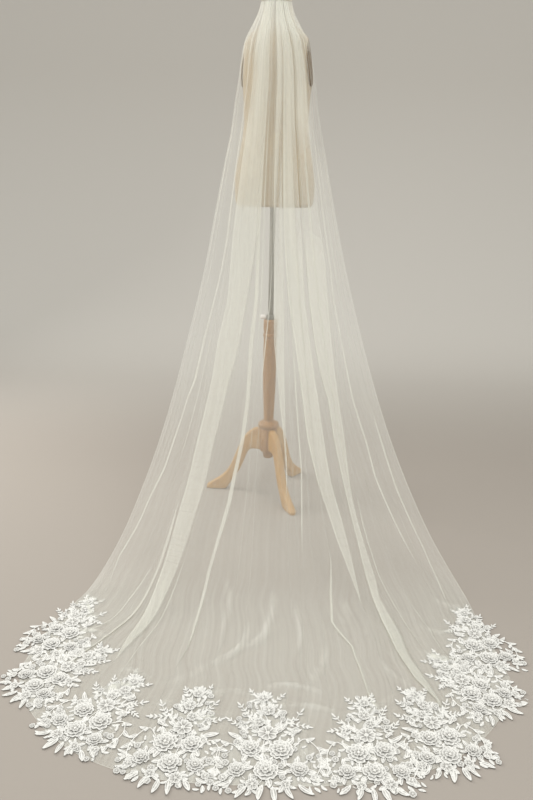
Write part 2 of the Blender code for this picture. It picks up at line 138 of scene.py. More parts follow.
def net_material(name, colour, single):
    """Soft net: white threads and clear holes. One layer hides `single` of what is
    behind it, and more the closer its gathers are packed."""
    n = Nodes(name)
    uv = n.node("ShaderNodeUVMap", uv_map="cloth").outputs[0]
    # six-sided mesh, 1.7 mm from hole to hole
    waves = []
    for k in range(3):
        a = 2 * pi * k / 3
        d = n.node("ShaderNodeVectorMath", {0: uv, 1: (cos(a) * 3700.0, sin(a) * 3700.0, 0.0)},
                   operation="DOT_PRODUCT").outputs["Value"]
        waves.append(n.math("COSINE", d))
    total = n.math("ADD", n.math("ADD", waves[0], waves[1]), waves[2])
    thread = n.node("ShaderNodeMapRange", {"Value": total, "From Min": 0.6, "From Max": -0.9,
                                           "To Min": 0.55, "To Max": 1.42}).outputs[0]
    # packed and loose gathers, along the panel
    streak_a = n.noise(n.mapping(uv, scale=(78.0, 0.9, 1.0)), 1.0, 1.5, 0.6)
    streak_b = n.noise(n.mapping(uv, scale=(27.0, 0.6, 1.0), location=(3.1, 0.7, 0)), 1.0, 2.0, 0.5)
    gather = n.node("ShaderNodeAttribute", attribute_name="gather").outputs["Fac"]
    packed = n.math("SUBTRACT", gather, 1.0)
    wild = n.math("MULTIPLY_ADD", streak_a, 1.5, n.math("MULTIPLY_ADD", streak_b, 1.3, -1.40))
    wild = n.math("MULTIPLY", wild, n.math("MINIMUM", n.math("MULTIPLY_ADD", packed, 0.75, 0.20), 1.15))
    layers = n.math("MAXIMUM", n.math("ADD", gather, n.math("MULTIPLY", wild, gather)), 0.45)
    # the cut edge, where the threads stand closer
    xy = n.node("ShaderNodeSeparateXYZ", {0: uv})
    side = n.node("ShaderNodeMapRange", {"Value": n.math("ABSOLUTE", xy.outputs[0]), "From Min": CUT_WIDTH / 2 - 0.0034,
                                         "From Max": CUT_WIDTH / 2 - 0.0022}).outputs[0]
    foot = n.node("ShaderNodeMapRange", {"Value": xy.outputs[1], "From Min": LENGTH - 0.0034,
                                         "From Max": LENGTH - 0.0022}).outputs[0]
    layers = n.math("MULTIPLY_ADD", n.math("MAXIMUM", side, foot), 1.3, layers)
    depth = n.math("MULTIPLY", layers, thread)
    clear = n.math("POWER", 1.0 - single, depth)
    alpha = n.math("SUBTRACT", 1.0, clear, clamp=True)
    cloth = n.node("ShaderNodeBsdfPrincipled", {"Base Color": (*colour, 1), "Roughness": 0.62,
                                                "Specular IOR Level": 0.25, "Sheen Weight": 0.25,
                                                "Sheen Roughness": 0.45})
    through = n.node("ShaderNodeBsdfTranslucent", {"Color": (*colour, 1)})
    both = n.node("ShaderNodeMixShader", {0: 0.42, 1: cloth.outputs[0], 2: through.outputs[0]})
    hole = n.node("ShaderNodeBsdfTransparent", {"Color": (1, 1, 1, 1)})
    mix = n.node("ShaderNodeMixShader", {0: alpha, 1: hole.outputs[0], 2: both.outputs[0]})
    return n.surface(mix.outputs[0])


def lace_material(name):
    """Corded cotton lace whose colour is partly painted shade: bright raised cords as if lit, dark feet and a dark
    shadow rim where each piece drops to the net, and a slightly greyer dotted ground.
    """
    n = Nodes(name)
    geo = n.node("ShaderNodeTexCoord").outputs["Object"]
    # per-vertex tone: the stitch stripes plus painted shade and painted highlight taken from the lace's relief
    relief = n.node("ShaderNodeAttribute", attribute_name="relief").outputs["Fac"]
    dots = n.node("ShaderNodeTexVoronoi", {"Vector": geo, "Scale": 520.0, "Randomness": 0.55},
                  feature="F1").outputs["Distance"]
    dot_edge = n.node("ShaderNodeMapRange", {"Value": dots, "From Min": 0.18, "From Max": 0.62,
                                             "To Min": 1.0, "To Max": 0.0}).outputs[0]
    thread = n.noise(n.mapping(geo, scale=(2600.0, 900.0, 900.0)), 1.0, 2.0, 0.6)
    tone = n.math("MULTIPLY_ADD", relief, 0.92, n.math("MULTIPLY_ADD", dot_edge, 0.14, -0.06), clamp=True)
    # painted shade: the dark grey end is the painted shadow at rims and feet, and the white end is the lit cords
    colour = n.ramp(tone, ((0.0, srgb(84, 81, 76)), (0.20, srgb(146, 143, 137)), (0.46, srgb(212, 210, 204)),
                           (0.85, srgb(239, 237, 231))))
    height = n.math("MULTIPLY_ADD", dot_edge, 0.7, n.math("MULTIPLY", thread, 0.4))
    shader = n.node("ShaderNodeBsdfPrincipled", {
        "Base Color": colour, "Roughness": 0.78, "Specular IOR Level": 0.25, "Sheen Weight": 0.2,
        "Sheen Roughness": 0.5, "Normal": n.bump(height, 0.55, 0.0006)})
    return n.surface(shader.outputs[0])


def cloth_material(name, colour, dark, weave=900.0):
    """Close jersey or satin ribbon over the object's own coordinates."""
    n = Nodes(name)
    at = n.node("ShaderNodeTexCoord").outputs["Object"]
    knit = n.node("ShaderNodeTexWave", {"Vector": at, "Scale": weave / 10, "Distortion": 1.2,
                                        "Detail": 1.0, "Detail Scale": 2.0},
                  wave_type="BANDS", bands_direction="DIAGONAL").outputs["Fac"]
    soft = n.noise(at, 14.0, 3.0)
    fine = n.noise(at, 420.0, 2.0)
    mix = n.math("MULTIPLY_ADD", soft, 0.6, n.math("MULTIPLY_ADD", fine, 0.3, n.math("MULTIPLY", knit, 0.2)))
    col = n.ramp(mix, ((0.25, dark), (0.75, colour)))
    shader = n.node("ShaderNodeBsdfPrincipled", {
        "Base Color": col, "Roughness": 0.85, "Specular IOR Level": 0.2, "Sheen Weight": 0.3,
        "Sheen Roughness": 0.5,
        "Normal": n.bump(n.math("ADD", knit, fine), 0.25, 0.0004)})
    return n.surface(shader.outputs[0])


def wood_material(name, light, dark, grain=(9.0, 9.0, 0.9), gloss=0.42, uv=None):
    """Turned or sawn wood: long grain, fine pores, satin varnish."""
    n = Nodes(name)
    at = (n.node("ShaderNodeUVMap", uv_map=uv).outputs[0] if uv
          else n.node("ShaderNodeTexCoord").outputs["Object"])
    warp = n.noise(n.mapping(at, scale=grain), 2.0, 2.0, 0.5, "Color")
    moved = n.node("ShaderNodeVectorMath", {0: n.mapping(at, scale=grain), 1: warp}, operation="ADD").outputs[0]
    rings = n.noise(moved, 5.5, 5.0, 0.62)
    pores = n.noise(n.mapping(at, scale=tuple(g * 26 for g in grain[:2]) + (grain[2] * 5,)), 3.0, 3.0, 0.7)
    mix = n.math("MULTIPLY_ADD", rings, 0.85, n.math("MULTIPLY_ADD", pores, 0.30, -0.12), clamp=True)
    col = n.ramp(mix, ((0.22, dark), (0.48, tuple(0.5 * (a + b) for a, b in zip(light, dark))), (0.75, light)))
    rough = n.math("MULTIPLY_ADD", pores, 0.22, gloss - 0.1)
    shader = n.node("ShaderNodeBsdfPrincipled", {
        "Base Color": col, "Roughness": rough, "Specular IOR Level": 0.45,
        "Normal": n.bump(mix, 0.18, 0.0006)})
    return n.surface(shader.outputs[0])


def metal_material(name, colour, rough):
    n = Nodes(name)
    at = n.node("ShaderNodeTexCoord").outputs["Object"]
    scratch = n.noise(n.mapping(at, scale=(60.0, 60.0, 900.0)), 1.0, 3.0, 0.6)
    smear = n.noise(at, 22.0, 2.0)
    col = n.ramp(smear, ((0.3, tuple(0.75 * c for c in colour)), (0.7, colour)))
    shader = n.node("ShaderNodeBsdfPrincipled", {
        "Base Color": col, "Metallic": 0.45, "Roughness": n.math("MULTIPLY_ADD", scratch, 0.25, rough - 0.1),
        "Normal": n.bump(scratch, 0.12, 0.0002)})
    return n.surface(shader.outputs[0])


def plastic_material(name, colour, rough, alpha=1.0):
    n = Nodes(name)
    at = n.node("ShaderNodeTexCoord").outputs["Object"]
    soft = n.noise(at, 60.0, 3.0)
    col = n.ramp(soft, ((0.3, tuple(0.88 * c for c in colour)), (0.7, colour)))
    shader = n.node("ShaderNodeBsdfPrincipled", {
        "Base Color": col, "Roughness": rough, "Alpha": alpha, "Coat Weight": 0.2,
        "Normal": n.bump(n.noise(at, 500.0, 2.0), 0.08, 0.0003)})
    return n.surface(shader.outputs[0])


MAT = dict(
    net=net_material("ivory_net", srgb(240, 239, 230), 0.262),
    lace=lace_material("white_lace"),
    ribbon=cloth_material("satin_ribbon", srgb(240, 235, 222), srgb(214, 206, 190), 1600.0),
    cover=cloth_material("tan_jersey", srgb(174, 154, 122), srgb(150, 131, 100)),
    plate=wood_material("brown_plate", srgb(117, 90, 51), srgb(84, 61, 31), (9, 9, 9), 0.45),
    steel=metal_material("dark_steel", srgb(132, 127, 116), 0.50),
    knob=plastic_material("pale_knob", srgb(250, 242, 236), 0.38),
    comb=plastic_material("clear_comb", srgb(238, 238, 234), 0.15, 0.55),
    wood=wood_material("turned_wood", srgb(176, 132, 78), srgb(134, 92, 48)),
    pine=wood_material("curved_wood", srgb(204, 162, 96), srgb(164, 120, 62), (22.0, 3.0, 22.0), 0.42, "grain"),
)


# ------------------------------------------------------------------ mesh helpers
def mesh_object(name, verts, faces, mat, smooth_shade=True, uv=None, uv_name="cloth", attributes=None):
    """verts (n,3), faces (m,4) or (m,3) index arrays, or a list of both kinds."""
    mesh = bpy.data.meshes.new(name)
    verts = np.asarray(verts, np.float32)
    blocks = faces if isinstance(faces, (list, tuple)) else [faces]
    blocks = [np.asarray(b, np.int32) for b in blocks if len(b)]
    mesh.vertices.add(len(verts))
    mesh.vertices.foreach_set("co", verts.ravel())
    loops = np.concatenate([b.ravel() for b in blocks])
    sizes = np.concatenate([np.full(len(b), b.shape[1], np.int32) for b in blocks])
    mesh.loops.add(len(loops))
    mesh.loops.foreach_set("vertex_index", loops)
    mesh.polygons.add(len(sizes))
    starts = np.concatenate([[0], np.cumsum(sizes)[:-1]]).astype(np.int32)
    mesh.polygons.foreach_set("loop_start", starts)
    mesh.polygons.foreach_set("loop_total", sizes)
    mesh.polygons.foreach_set("use_smooth", np.full(len(sizes), smooth_shade))
    if uv is not None:
        layer = mesh.uv_layers.new(name=uv_name)
        layer.data.foreach_set("uv", np.asarray(uv, np.float32)[loops].ravel())
    for key, values in (attributes or {}).items():
        mesh.attributes.new(key, "FLOAT", "POINT").data.foreach_set("value", np.asarray(values, np.float32))
    mesh.update(calc_edges=True)
    mesh.validate()
    obj = bpy.data.objects.new(name, mesh)
    obj.data.materials.append(mat)
    bpy.context.scene.collection.objects.link(obj)
    return obj


def grid_faces(rows, cols, close=False, first=0):
    r = np.arange(rows - 1)[:, None] * cols
    c = np.arange(cols if close else cols - 1)[None, :]
    d = (c + 1) % cols
    quads = np.stack([r + c, r + cols + c, r + cols + d, r + d], axis=-1)
    return quads.reshape(-1, 4) + first


def turned(name, profile, mat, at=(0.0, 0.0), around=56, round_off=0.0):
    """A turned piece: (radius, height) rows down the outer side, closed on the axis."""
    prof = np.array(profile, float)
    t = np.linspace(0, 2 * pi, around, endpoint=False)
    pts = np.stack([at[0] + prof[:, :1] * np.cos(t), at[1] - prof[:, :1] * np.sin(t),
                    np.repeat(prof[:, 1:2], around, 1)], axis=-1)
    obj = mesh_object(name, world(pts).reshape(-1, 3), grid_faces(len(prof), around, close=True), mat)
    weld = obj.modifiers.new("weld", "WELD")
    weld.merge_threshold = 0.00001
    if round_off:
        edge = obj.modifiers.new("edge", "BEVEL")
        edge.width = round_off
        edge.segments = 3
        edge.limit_method = "ANGLE"
        edge.angle_limit = radians(35)
    obj.data.set_sharp_from_angle(angle=radians(50))
    return obj


def hermite(rows, n):
    """A smooth run of n rows through the rows of a table."""
    rows = np.asarray(rows, float)
    t = np.linspace(0, len(rows) - 1, n)
    k = np.clip(t.astype(int), 0, len(rows) - 2)
    f = (t - k)[:, None]
    d = np.gradient(rows, axis=0)
    a, b, da, db = rows[k], rows[k + 1], d[k], d[k + 1]
    return ((2 * f ** 3 - 3 * f ** 2 + 1) * a + (f ** 3 - 2 * f ** 2 + f) * da
            + (-2 * f ** 3 + 3 * f ** 2) * b + (f ** 3 - f ** 2) * db)


# ------------------------------------------------------------------ the dress form
FORM_YAW, FORM_SHIFT = radians(-13.0), 0.005
TORSO = np.array((
    # height half_width half_depth back
    (1.172, 0.1380, 0.0980, 0.000), (1.180, 0.1470, 0.1050, 0.001), (1.215, 0.1520, 0.1100, 0.003),
    (1.270, 0.1510, 0.1110, 0.004), (1.340, 0.1400, 0.1020, 0.003), (1.410, 0.1250, 0.0900, 0.001),
    (1.465, 0.1190, 0.0850, 0.000), (1.530, 0.1210, 0.0920, -0.004), (1.590, 0.1260, 0.1010, -0.008),
    (1.640, 0.1290, 0.1030, -0.006), (1.690, 0.1275, 0.0970, 0.000), (1.725, 0.1210, 0.0870, 0.003),
    (1.750, 0.1080, 0.0760, 0.004), (1.770, 0.0880, 0.0660, 0.003), (1.788, 0.0660, 0.0570, 0.001),
    (1.808, 0.0550, 0.0515, 0.000), (1.850, 0.0505, 0.0495, 0.000)))
ARMHOLE = dict(z=1.650, half_height=0.076, half_depth=0.041, flat=0.1150, lean=radians(7.0), plate=0.0070)


def form_place(local):
    """The torso's own axes (right, rear, up) to across, forward, up."""
    c, s = cos(FORM_YAW), sin(FORM_YAW)
    x = c * local[..., 0] - s * local[..., 1] + FORM_SHIFT
    y = s * local[..., 0] + c * local[..., 1]
    return np.stack([x, -y, local[..., 2]], axis=-1)


def torso():
    z = np.concatenate([np.linspace(1.172, 1.20, 10)[:-1], np.linspace(1.20, 1.72, 60)[:-1],
                        np.linspace(1.72, 1.85, 40)])
    ring = np.stack([np.interp(z, TORSO[:, 0], TORSO[:, k]) for k in (1, 2, 3)], axis=1)
    # soften the table's corners
    for _ in range(3):
        ring[1:-1] = 0.25 * ring[:-2] + 0.5 * ring[1:-1] + 0.25 * ring[2:]
    around = 112
    t = np.linspace(0, 2 * pi, around, endpoint=False)
    a, b, back = (ring[:, k][:, None] for k in range(3))
    seam = np.zeros((len(z), around))
    for angle in (pi / 2, -pi / 2, pi / 2 - 0.75, pi / 2 + 0.75, -pi / 2 - 0.75, -pi / 2 + 0.75, 0.0, pi):
        d = np.abs((t - angle + pi) % (2 * pi) - pi)
        seam += np.exp(-(d / 0.022) ** 2) * 0.0011
    seam *= smooth(z, 1.172, 1.19)[:, None] * (1 - smooth(z, 1.76, 1.79))[:, None]
    pts = np.stack([(a - seam) * np.cos(t), (b - seam) * np.sin(t) - back,
                    np.repeat(z[:, None], around, 1)], axis=-1)
    # the flats under the armhole plates
    for side in (1, -1):
        lean = ARMHOLE["lean"]
        dz = pts[..., 2] - ARMHOLE["z"]
        out = side * pts[..., 0] * cos(lean) + dz * sin(lean) * 1.0
        up = dz * cos(lean) - side * pts[..., 0] * sin(lean)
        inside = (up / (ARMHOLE["half_height"] + 0.001)) ** 2 + (pts[..., 1] / (ARMHOLE["half_depth"] + 0.001)) ** 2 < 1
        over = np.where(inside & (side * pts[..., 0] > 0), np.maximum(out - ARMHOLE["flat"], 0), 0)
        pts[..., 0] -= side * over * cos(lean)
        pts[..., 2] -= over * sin(lean)
    n = len(z)
    verts = world(form_place(pts)).reshape(-1, 3)
    low = verts[:around].mean(0)
    top = verts[-around:].mean(0)
    verts = np.concatenate([verts, [low], [top]])
    quads = grid_faces(n, around, close=True)[:, ::-1]
    i = np.arange(around)
    fan_low = np.stack([i, np.full(around, n * around), (i + 1) % around], axis=1)
    off = (n - 1) * around
    fan_top = np.stack([off + i, off + (i + 1) % around, np.full(around, n * around + 1)], axis=1)
    obj = mesh_object("torso_cover", verts, [quads, fan_low, fan_top], MAT["cover"])
    obj.data.set_sharp_from_angle(angle=radians(60))
    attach(obj, "root")
    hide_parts("torso")
    return obj


def armhole_plate(name, node, side):
    """An oval plate, softly domed, with a rounded rim and its fixing screw."""
    e = ARMHOLE
    height, deep = e["half_height"] - 0.0006, e["half_depth"] - 0.0006
    # (share of the radius, share of the thickness): back face to front face
    prof = ((0.0, 0.0), (0.60, 0.0), (0.965, 0.0), (0.992, 0.10), (1.0, 0.30), (1.0, 0.62), (0.985, 0.84),
            (0.955, 0.95), (0.90, 1.0), (0.70, 1.0), (0.66, 0.93), (0.62, 1.0), (0.30, 1.0), (0.085, 1.0),
            (0.080, 0.86), (0.055, 0.84), (0.0, 0.88))
    around = 64
    t = np.linspace(0, 2 * pi, around, endpoint=False)
    # the disc leans with the shoulder: same turn as the flat it covers
    c, s = cos(e["lean"]), sin(e["lean"])
    lx = np.stack([np.full(around, e["flat"] + 0.0003 + d * (e["plate"] - 0.0001)) for _, d in prof])
    lz = np.stack([height * r * np.sin(t) for r, _ in prof])
    ly = np.stack([deep * r * np.cos(t) for r, _ in prof])
    pts = np.stack([side * (lx * c - lz * s), ly, e["z"] + lx * s + lz * c], axis=-1)
    faces = grid_faces(len(prof), around, close=True)
    obj = mesh_object(name, world(form_place(pts)).reshape(-1, 3), faces, MAT["plate"])
    weld = obj.modifiers.new("weld", "WELD")
    weld.merge_threshold = 0.00001
    obj.data.set_sharp_from_angle(angle=radians(50))
    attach(obj, "root")
    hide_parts(node)
    return obj


# ------------------------------------------------------------------ the stand
NECK_TOP, TORSO_BASE = 1.850, 1.172
POLE_R, POLE_FOOT = 0.0105, 0.645
SLEEVE_TOP, SLEEVE_FOOT, SEAM = 0.740, 0.3183, 0.0003
LEG = (
    # upper edge: out, height; lower edge: out, height
    (0.0364, 0.2843, 0.0364, 0.1880), (0.0500, 0.2832, 0.0500, 0.1898), (0.0650, 0.2765, 0.0660, 0.1895),
    (0.0800, 0.2655, 0.0790, 0.1840), (0.0940, 0.2505, 0.0885, 0.1690), (0.1080, 0.2290, 0.0965, 0.1480),
    (0.1210, 0.2025, 0.1050, 0.1250), (0.1330, 0.1740, 0.1140, 0.1020), (0.1450, 0.1420, 0.1250, 0.0810),
    (0.1580, 0.1110, 0.1380, 0.0610), (0.1750, 0.0830, 0.1520, 0.0410), (0.1960, 0.0605, 0.1640, 0.0210),
    (0.2200, 0.0425, 0.1740, 0.0060), (0.2400, 0.0290, 0.1870, 0.0000), (0.2530, 0.0195, 0.2200, 0.0000),
    (0.2593, 0.0125, 0.2580, 0.0000))


def stand_piece(obj, slot, *nodes):
    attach(obj, "root")
    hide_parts(*nodes)
    return obj


def leg(name, node, azimuth):
    rows = hermite(LEG, 72)
    rows[:, (1, 3)] = np.maximum(rows[:, (1, 3)], 0.0)
    k = np.linspace(0, 2 * pi, 28, endpoint=False)
    # a board with well rounded edges
    cx = np.sign(np.cos(k)) * np.abs(np.cos(k)) ** 0.42
    cy = np.sign(np.sin(k)) * np.abs(np.sin(k)) ** 0.42
    ends = np.ones(len(rows))
    ends[-1], ends[-2] = 0.72, 0.93
    middle, reach = (rows[:, :2] + rows[:, 2:]) / 2, (rows[:, :2] - rows[:, 2:]) / 2
    r = middle[:, :1] + reach[:, :1] * cy
    z = np.maximum(middle[:, 1:] + reach[:, 1:] * cy, 0.0)
    side = np.repeat((0.0146 * ends)[:, None], len(k), 1) * cx
    r[0] = np.sqrt(0.0362 ** 2 - side[0] ** 2)
    az = radians(azimuth)
    x = r * cos(az) - side * sin(az)
    y = r * sin(az) + side * cos(az)
    pts = np.stack([STAND_X + x, STAND_Y + y, z], axis=-1)
    n, m = len(rows), len(k)
    verts = pts.reshape(-1, 3)
    verts = np.concatenate([verts, [verts[:m].mean(0)], [verts[-m:].mean(0)]])
    i = np.arange(m)
    cap_a = np.stack([i, (i + 1) % m, np.full(m, n * m)], axis=1)
    off = (n - 1) * m
    cap_b = np.stack([off + (i + 1) % m, off + i, np.full(m, n * m + 1)], axis=1)
    run = np.concatenate([[0], np.cumsum(np.linalg.norm(np.diff(middle, axis=0), axis=1))])
    uv = np.stack([np.repeat(run[:, None], m, 1) * 0 + 0.02 * cx + 0.013 * cy, np.repeat(run[:, None], m, 1)], axis=-1)
    uv = np.concatenate([uv.reshape(-1, 2), [[0, 0]], [[0, run[-1]]]]) + azimuth * 0.01
    obj = mesh_object(name, verts, [grid_faces(n, m, close=True), cap_a, cap_b], MAT["pine"], uv=uv, uv_name="grain")
    obj.data.set_sharp_from_angle(angle=radians(60))
    return stand_piece(obj, "wood", node)


def stand():
    stand_piece(turned("neck_cap", [(0.0, NECK_TOP + 0.0065), (0.030, NECK_TOP + 0.0065), (0.0440, NECK_TOP + 0.0062),
                                    (0.0470, NECK_TOP + 0.0056), (0.0483, NECK_TOP + 0.0044),
                                    (0.0485, NECK_TOP + 0.0028), (0.0483, NECK_TOP + 0.0010),
                                    (0.0475, NECK_TOP + SEAM), (0.0, NECK_TOP + SEAM)], MAT["plate"]),
                "plate", "neck_plate")
    stand_piece(turned("steel_pole", [(0.0, TORSO_BASE - SEAM), (POLE_R, TORSO_BASE - SEAM), (POLE_R, 0.9),
                                      (POLE_R, POLE_FOOT + 0.001), (POLE_R - 0.001, POLE_FOOT), (0.0, POLE_FOOT)],
                       MAT["steel"], around=40), "steel", "pole")
    bore = POLE_R + SEAM
    top = SLEEVE_TOP
    stand_piece(turned("clamp", [(bore, top + SEAM), (bore, top + 0.0175), (bore + 0.0005, top + 0.018),
                                 (0.0138, top + 0.018), (0.0150, top + 0.0174), (0.0158, top + 0.0160),
                                 (0.0158, top + 0.0020), (0.0153, top + SEAM), (bore, top + SEAM)],
                       MAT["steel"]), "steel", "clamp_ring")
    stem = [(0.0, POLE_FOOT - SEAM), (bore, POLE_FOOT - SEAM), (bore, top - 0.0005), (bore + 0.0005, top),
            (0.0240, top), (0.0258, top - 0.0008), (0.0270, top - 0.0035), (0.0274, top - 0.008),
            (0.0277, top - 0.020), (0.0277, top - 0.034), (0.0272, top - 0.043), (0.0262, top - 0.0500),
            (0.0252, top - 0.0530), (0.0252, top - 0.0545), (0.0270, top - 0.0560), (0.0283, top - 0.0590),
            (0.0287, top - 0.0630), (0.0284, top - 0.0672), (0.0272, top - 0.0702), (0.0252, top - 0.0718),
            (0.0250, top - 0.0738), (0.0256, top - 0.080), (0.0263, 0.630), (0.0266, 0.600), (0.0267, 0.560),
            (0.0264, 0.520), (0.0257, 0.480), (0.0246, 0.440), (0.0233, 0.405), (0.0220, 0.370),
            (0.0209, 0.345), (0.0206, 0.332), (0.0206, SLEEVE_FOOT), (0.0, SLEEVE_FOOT)]
    stand_piece(turned("wood_sleeve", stem, MAT["wood"]), "wood", "sleeve")
    stand_piece(turned("wood_collar", [(0.0, SLEEVE_FOOT - SEAM), (0.0230, SLEEVE_FOOT - SEAM), (0.0244, 0.3160),
                                       (0.0262, 0.3140), (0.0288, 0.3124), (0.0325, 0.3112), (0.0368, 0.3098),
                                       (0.0404, 0.3074), (0.0425, 0.3042), (0.0433, 0.3005), (0.0432, 0.2965),
                                       (0.0422, 0.2925), (0.0402, 0.2885), (0.0384, 0.2862), (0.0372, 0.2850),
                                       (0.0, 0.2850)], MAT["wood"]),
                "wood", "collar")
    stand_piece(turned("wood_hub", [(0.0, 0.2847), (0.0354, 0.2847), (0.0360, 0.2840), (0.0360, 0.1890),
                                    (0.0354, 0.1866), (0.0338, 0.1850), (0.0300, 0.1842), (0.0236, 0.1838),
                                    (0.0226, 0.1826), (0.0222, 0.1780), (0.0214, 0.1640), (0.0205, 0.1580),
                                    (0.0186, 0.1546), (0.0150, 0.1532), (0.0, 0.1530)],
                       MAT["wood"]), "wood", "hub")
    leg("wood_leg_front", "leg_front", -66.0)
    leg("wood_leg_left", "leg_left", 175.0)
    leg("wood_leg_right", "leg_right", 55.0)
    # screw knob, with finger grooves round it
    around = 48
    t = np.linspace(0, 2 * pi, around, endpoint=False)
    prof = ((0.0, 0.0), (0.0045, 0.0), (0.0045, 0.0030), (0.0062, 0.0034), (0.0084, 0.0052), (0.0090, 0.0080),
            (0.0090, 0.0190), (0.0085, 0.0220), (0.0066, 0.0240), (0.0035, 0.0245), (0.0, 0.0245))
    rows = []
    for r, d in prof:
        groove = 1 - (0.07 * (0.5 + 0.5 * np.cos(12 * t)) if r > 0.0083 else 0.0)
        rr = r * groove
        rows.append(np.stack([-(0.0158 + SEAM + d) + 0 * t, rr * np.cos(t),
                              top + 0.010 + rr * np.sin(t)], axis=-1))
    knob = mesh_object("knob", world(np.array(rows)).reshape(-1, 3), grid_faces(len(prof), around, close=True),
                       MAT["knob"])
    weld = knob.modifiers.new("weld", "WELD")
    weld.merge_threshold = 0.00001
    stand_piece(knob, "knob", "clamp_knob")


# ------------------------------------------------------------------ the plan of the lace
SPRAYS = (
    # node     tip_x   tip_f  base_x  base_f width seed flip
    ("lace_1", -0.545, 0.834, -0.606, 1.112, 0.190, 101, 1),
    ("lace_2", -0.430, 1.084, -0.628, 1.268, 0.180, 202, -1),
    ("lace_3", -0.330, 1.196, -0.468, 1.430, 0.212, 303, 1),
    ("lace_4", -0.160, 1.236, -0.224, 1.532, 0.226, 404, -1),
    ("lace_5", -0.006, 1.248, 0.012, 1.548, 0.256, 505, 1),
    ("lace_6", 0.253, 1.258, 0.244, 1.546, 0.216, 606, -1),
    ("lace_7", 0.373, 1.228, 0.440, 1.486, 0.206, 707, 1),
    ("lace_8", 0.461, 1.086, 0.600, 1.300, 0.185, 808, -1),
    ("lace_9", 0.611, 0.854, 0.622, 1.138, 0.190, 909, -1),
)

# Half width of a spray at heights from its foot (0) to its tip (1), in metres.
ENVELOPE = np.array(((-.10, .070), (-.03, .112), (.08, .126), (.20, .124), (.30, .108), (.38, .080), (.46, .058),
                     (.58, .060), (.66, .064), (.76, .040), (.86, .040), (.95, .022), (1.02, .006)))


# ------------------------------------------------------------------ the panel's form
ROWS = np.array((
    # height  mid     side    shift   half   power root
    (1.856, 0.0600, 0.0370, -0.002, 0.052, 2.2, 1.00), (1.825, 0.0660, 0.0400, -0.002, 0.060, 2.2, 1.00),
    (1.780, 0.0800, 0.0480, 0.000, 0.082, 2.2, 1.00), (1.730, 0.1010, 0.0560, 0.004, 0.104, 2.2, 1.00),
    (1.670, 0.1180, 0.0640, 0.007, 0.119, 2.2, 1.00), (1.600, 0.1290, 0.0740, 0.009, 0.130, 2.2, 1.00),
    (1.500, 0.1440, 0.0880, 0.007, 0.146, 2.2, 1.00), (1.350, 0.1720, 0.1140, 0.006, 0.177, 2.2, 1.00),
    (1.150, 0.2180, 0.1530, 0.007, 0.216, 2.2, 1.00), (0.950, 0.2790, 0.2060, 0.011, 0.256, 2.2, 1.00),
    (0.750, 0.3590, 0.2760, 0.014, 0.305, 2.2, 1.00), (0.550, 0.4600, 0.3660, 0.019, 0.358, 2.2, 1.00),
    (0.380, 0.5720, 0.4600, 0.024, 0.411, 2.2, 1.00), (0.240, 0.6900, 0.5560, 0.029, 0.465, 2.2, 1.00),
    (0.130, 0.8080, 0.6480, 0.034, 0.516, 2.2, 1.00), (0.050, 0.9200, 0.7320, 0.037, 0.566, 2.2, 1.00),
    (0.005, 1.0300, 0.8080, 0.034, 0.603, 2.2, 1.00), (0.000, 1.1400, 0.9000, 0.018, 0.624, 2.4, 0.95),
    (0.000, 1.2500, 0.9800, 0.010, 0.638, 2.6, 0.90), (0.000, 1.3600, 1.0600, 0.004, 0.647, 2.8, 0.85),
    (0.000, 1.4600, 1.1300, 0.001, 0.653, 2.9, 0.80), (0.000, 1.5450, 1.1800, 0.000, 0.655, 3.0, 0.75)))
DOWN = np.concatenate([[0.0], np.cumsum(np.hypot(np.diff(ROWS[:, 0]), np.diff(ROWS[:, 1])))])


def sections(v):
    v = np.clip(np.asarray(v, float), 0, LENGTH)
    k = np.clip(np.searchsorted(DOWN, v, side="right") - 1, 0, len(DOWN) - 2)
    h = (DOWN[k + 1] - DOWN[k])[:, None]
    f = ((v - DOWN[k]) / h[:, 0])[:, None]
    d = np.gradient(ROWS, DOWN, axis=0)
    a, b, da, db = ROWS[k], ROWS[k + 1], d[k] * h, d[k + 1] * h
    return ((2 * f ** 3 - 3 * f ** 2 + 1) * a + (f ** 3 - 2 * f ** 2 + f) * da
            + (-2 * f ** 3 + 3 * f ** 2) * b + (f ** 3 - f ** 2) * db)


def off_torso(p, clear=0.005):
    z = p[..., 2]
    a, b, back = (np.interp(z, TORSO[:, 0], TORSO[:, k]) for k in (1, 2, 3))
    c, s = cos(FORM_YAW), sin(FORM_YAW)
    x, y = p[..., 0] - FORM_SHIFT, -p[..., 1]
    lx, ly = c * x + s * y, -s * x + c * y + back
    reach = np.hypot(lx / (a + clear), ly / (b + clear))
    near = (z > TORSO_BASE - 0.05) & (z < NECK_TOP + 0.01) & (reach < 1)
    reach = np.where(near, reach, 1.0)
    q = p.copy()
    q[..., 0] = FORM_SHIFT + x / reach
    q[..., 1] = p[..., 1] / reach
    return q


def base_grid(u, v):
    """u (rows, columns) in halves of the section's length, v (rows,)."""
    s = sections(v)
    phase = np.linspace(-pi / 2, pi / 2, 241)
    xi = np.sin(phase)[None, :]
    x = s[:, 3:4] + s[:, 4:5] * xi
    fw = s[:, 2:3] + (s[:, 1:2] - s[:, 2:3]) * np.clip(1 - np.abs(xi) ** s[:, 5:6], 0, 1) ** s[:, 6:7]
    run = np.concatenate([np.zeros((len(s), 1)), np.cumsum(np.hypot(np.diff(x, axis=1), np.diff(fw, axis=1)), axis=1)], axis=1)
    out = np.empty(u.shape + (3,))
    wrap = 0.009 * smooth(s[:, 0], 1.40, 1.55) * (1 - smooth(s[:, 0], 1.72, 1.80))
    for j in range(len(s)):
        w = (np.clip(u[j], -1, 1) + 1) / 2 * run[j, -1]
        out[j, :, 0] = np.interp(w, run[j], x[j])
        out[j, :, 1] = np.interp(w, run[j], fw[j])
        out[j, :, 0] -= wrap[j] * smooth(-u[j], 0.55, 1.0)
        out[j, :, 2] = max(s[j, 0], 0.0)
    return off_torso(out), run[:, -1]


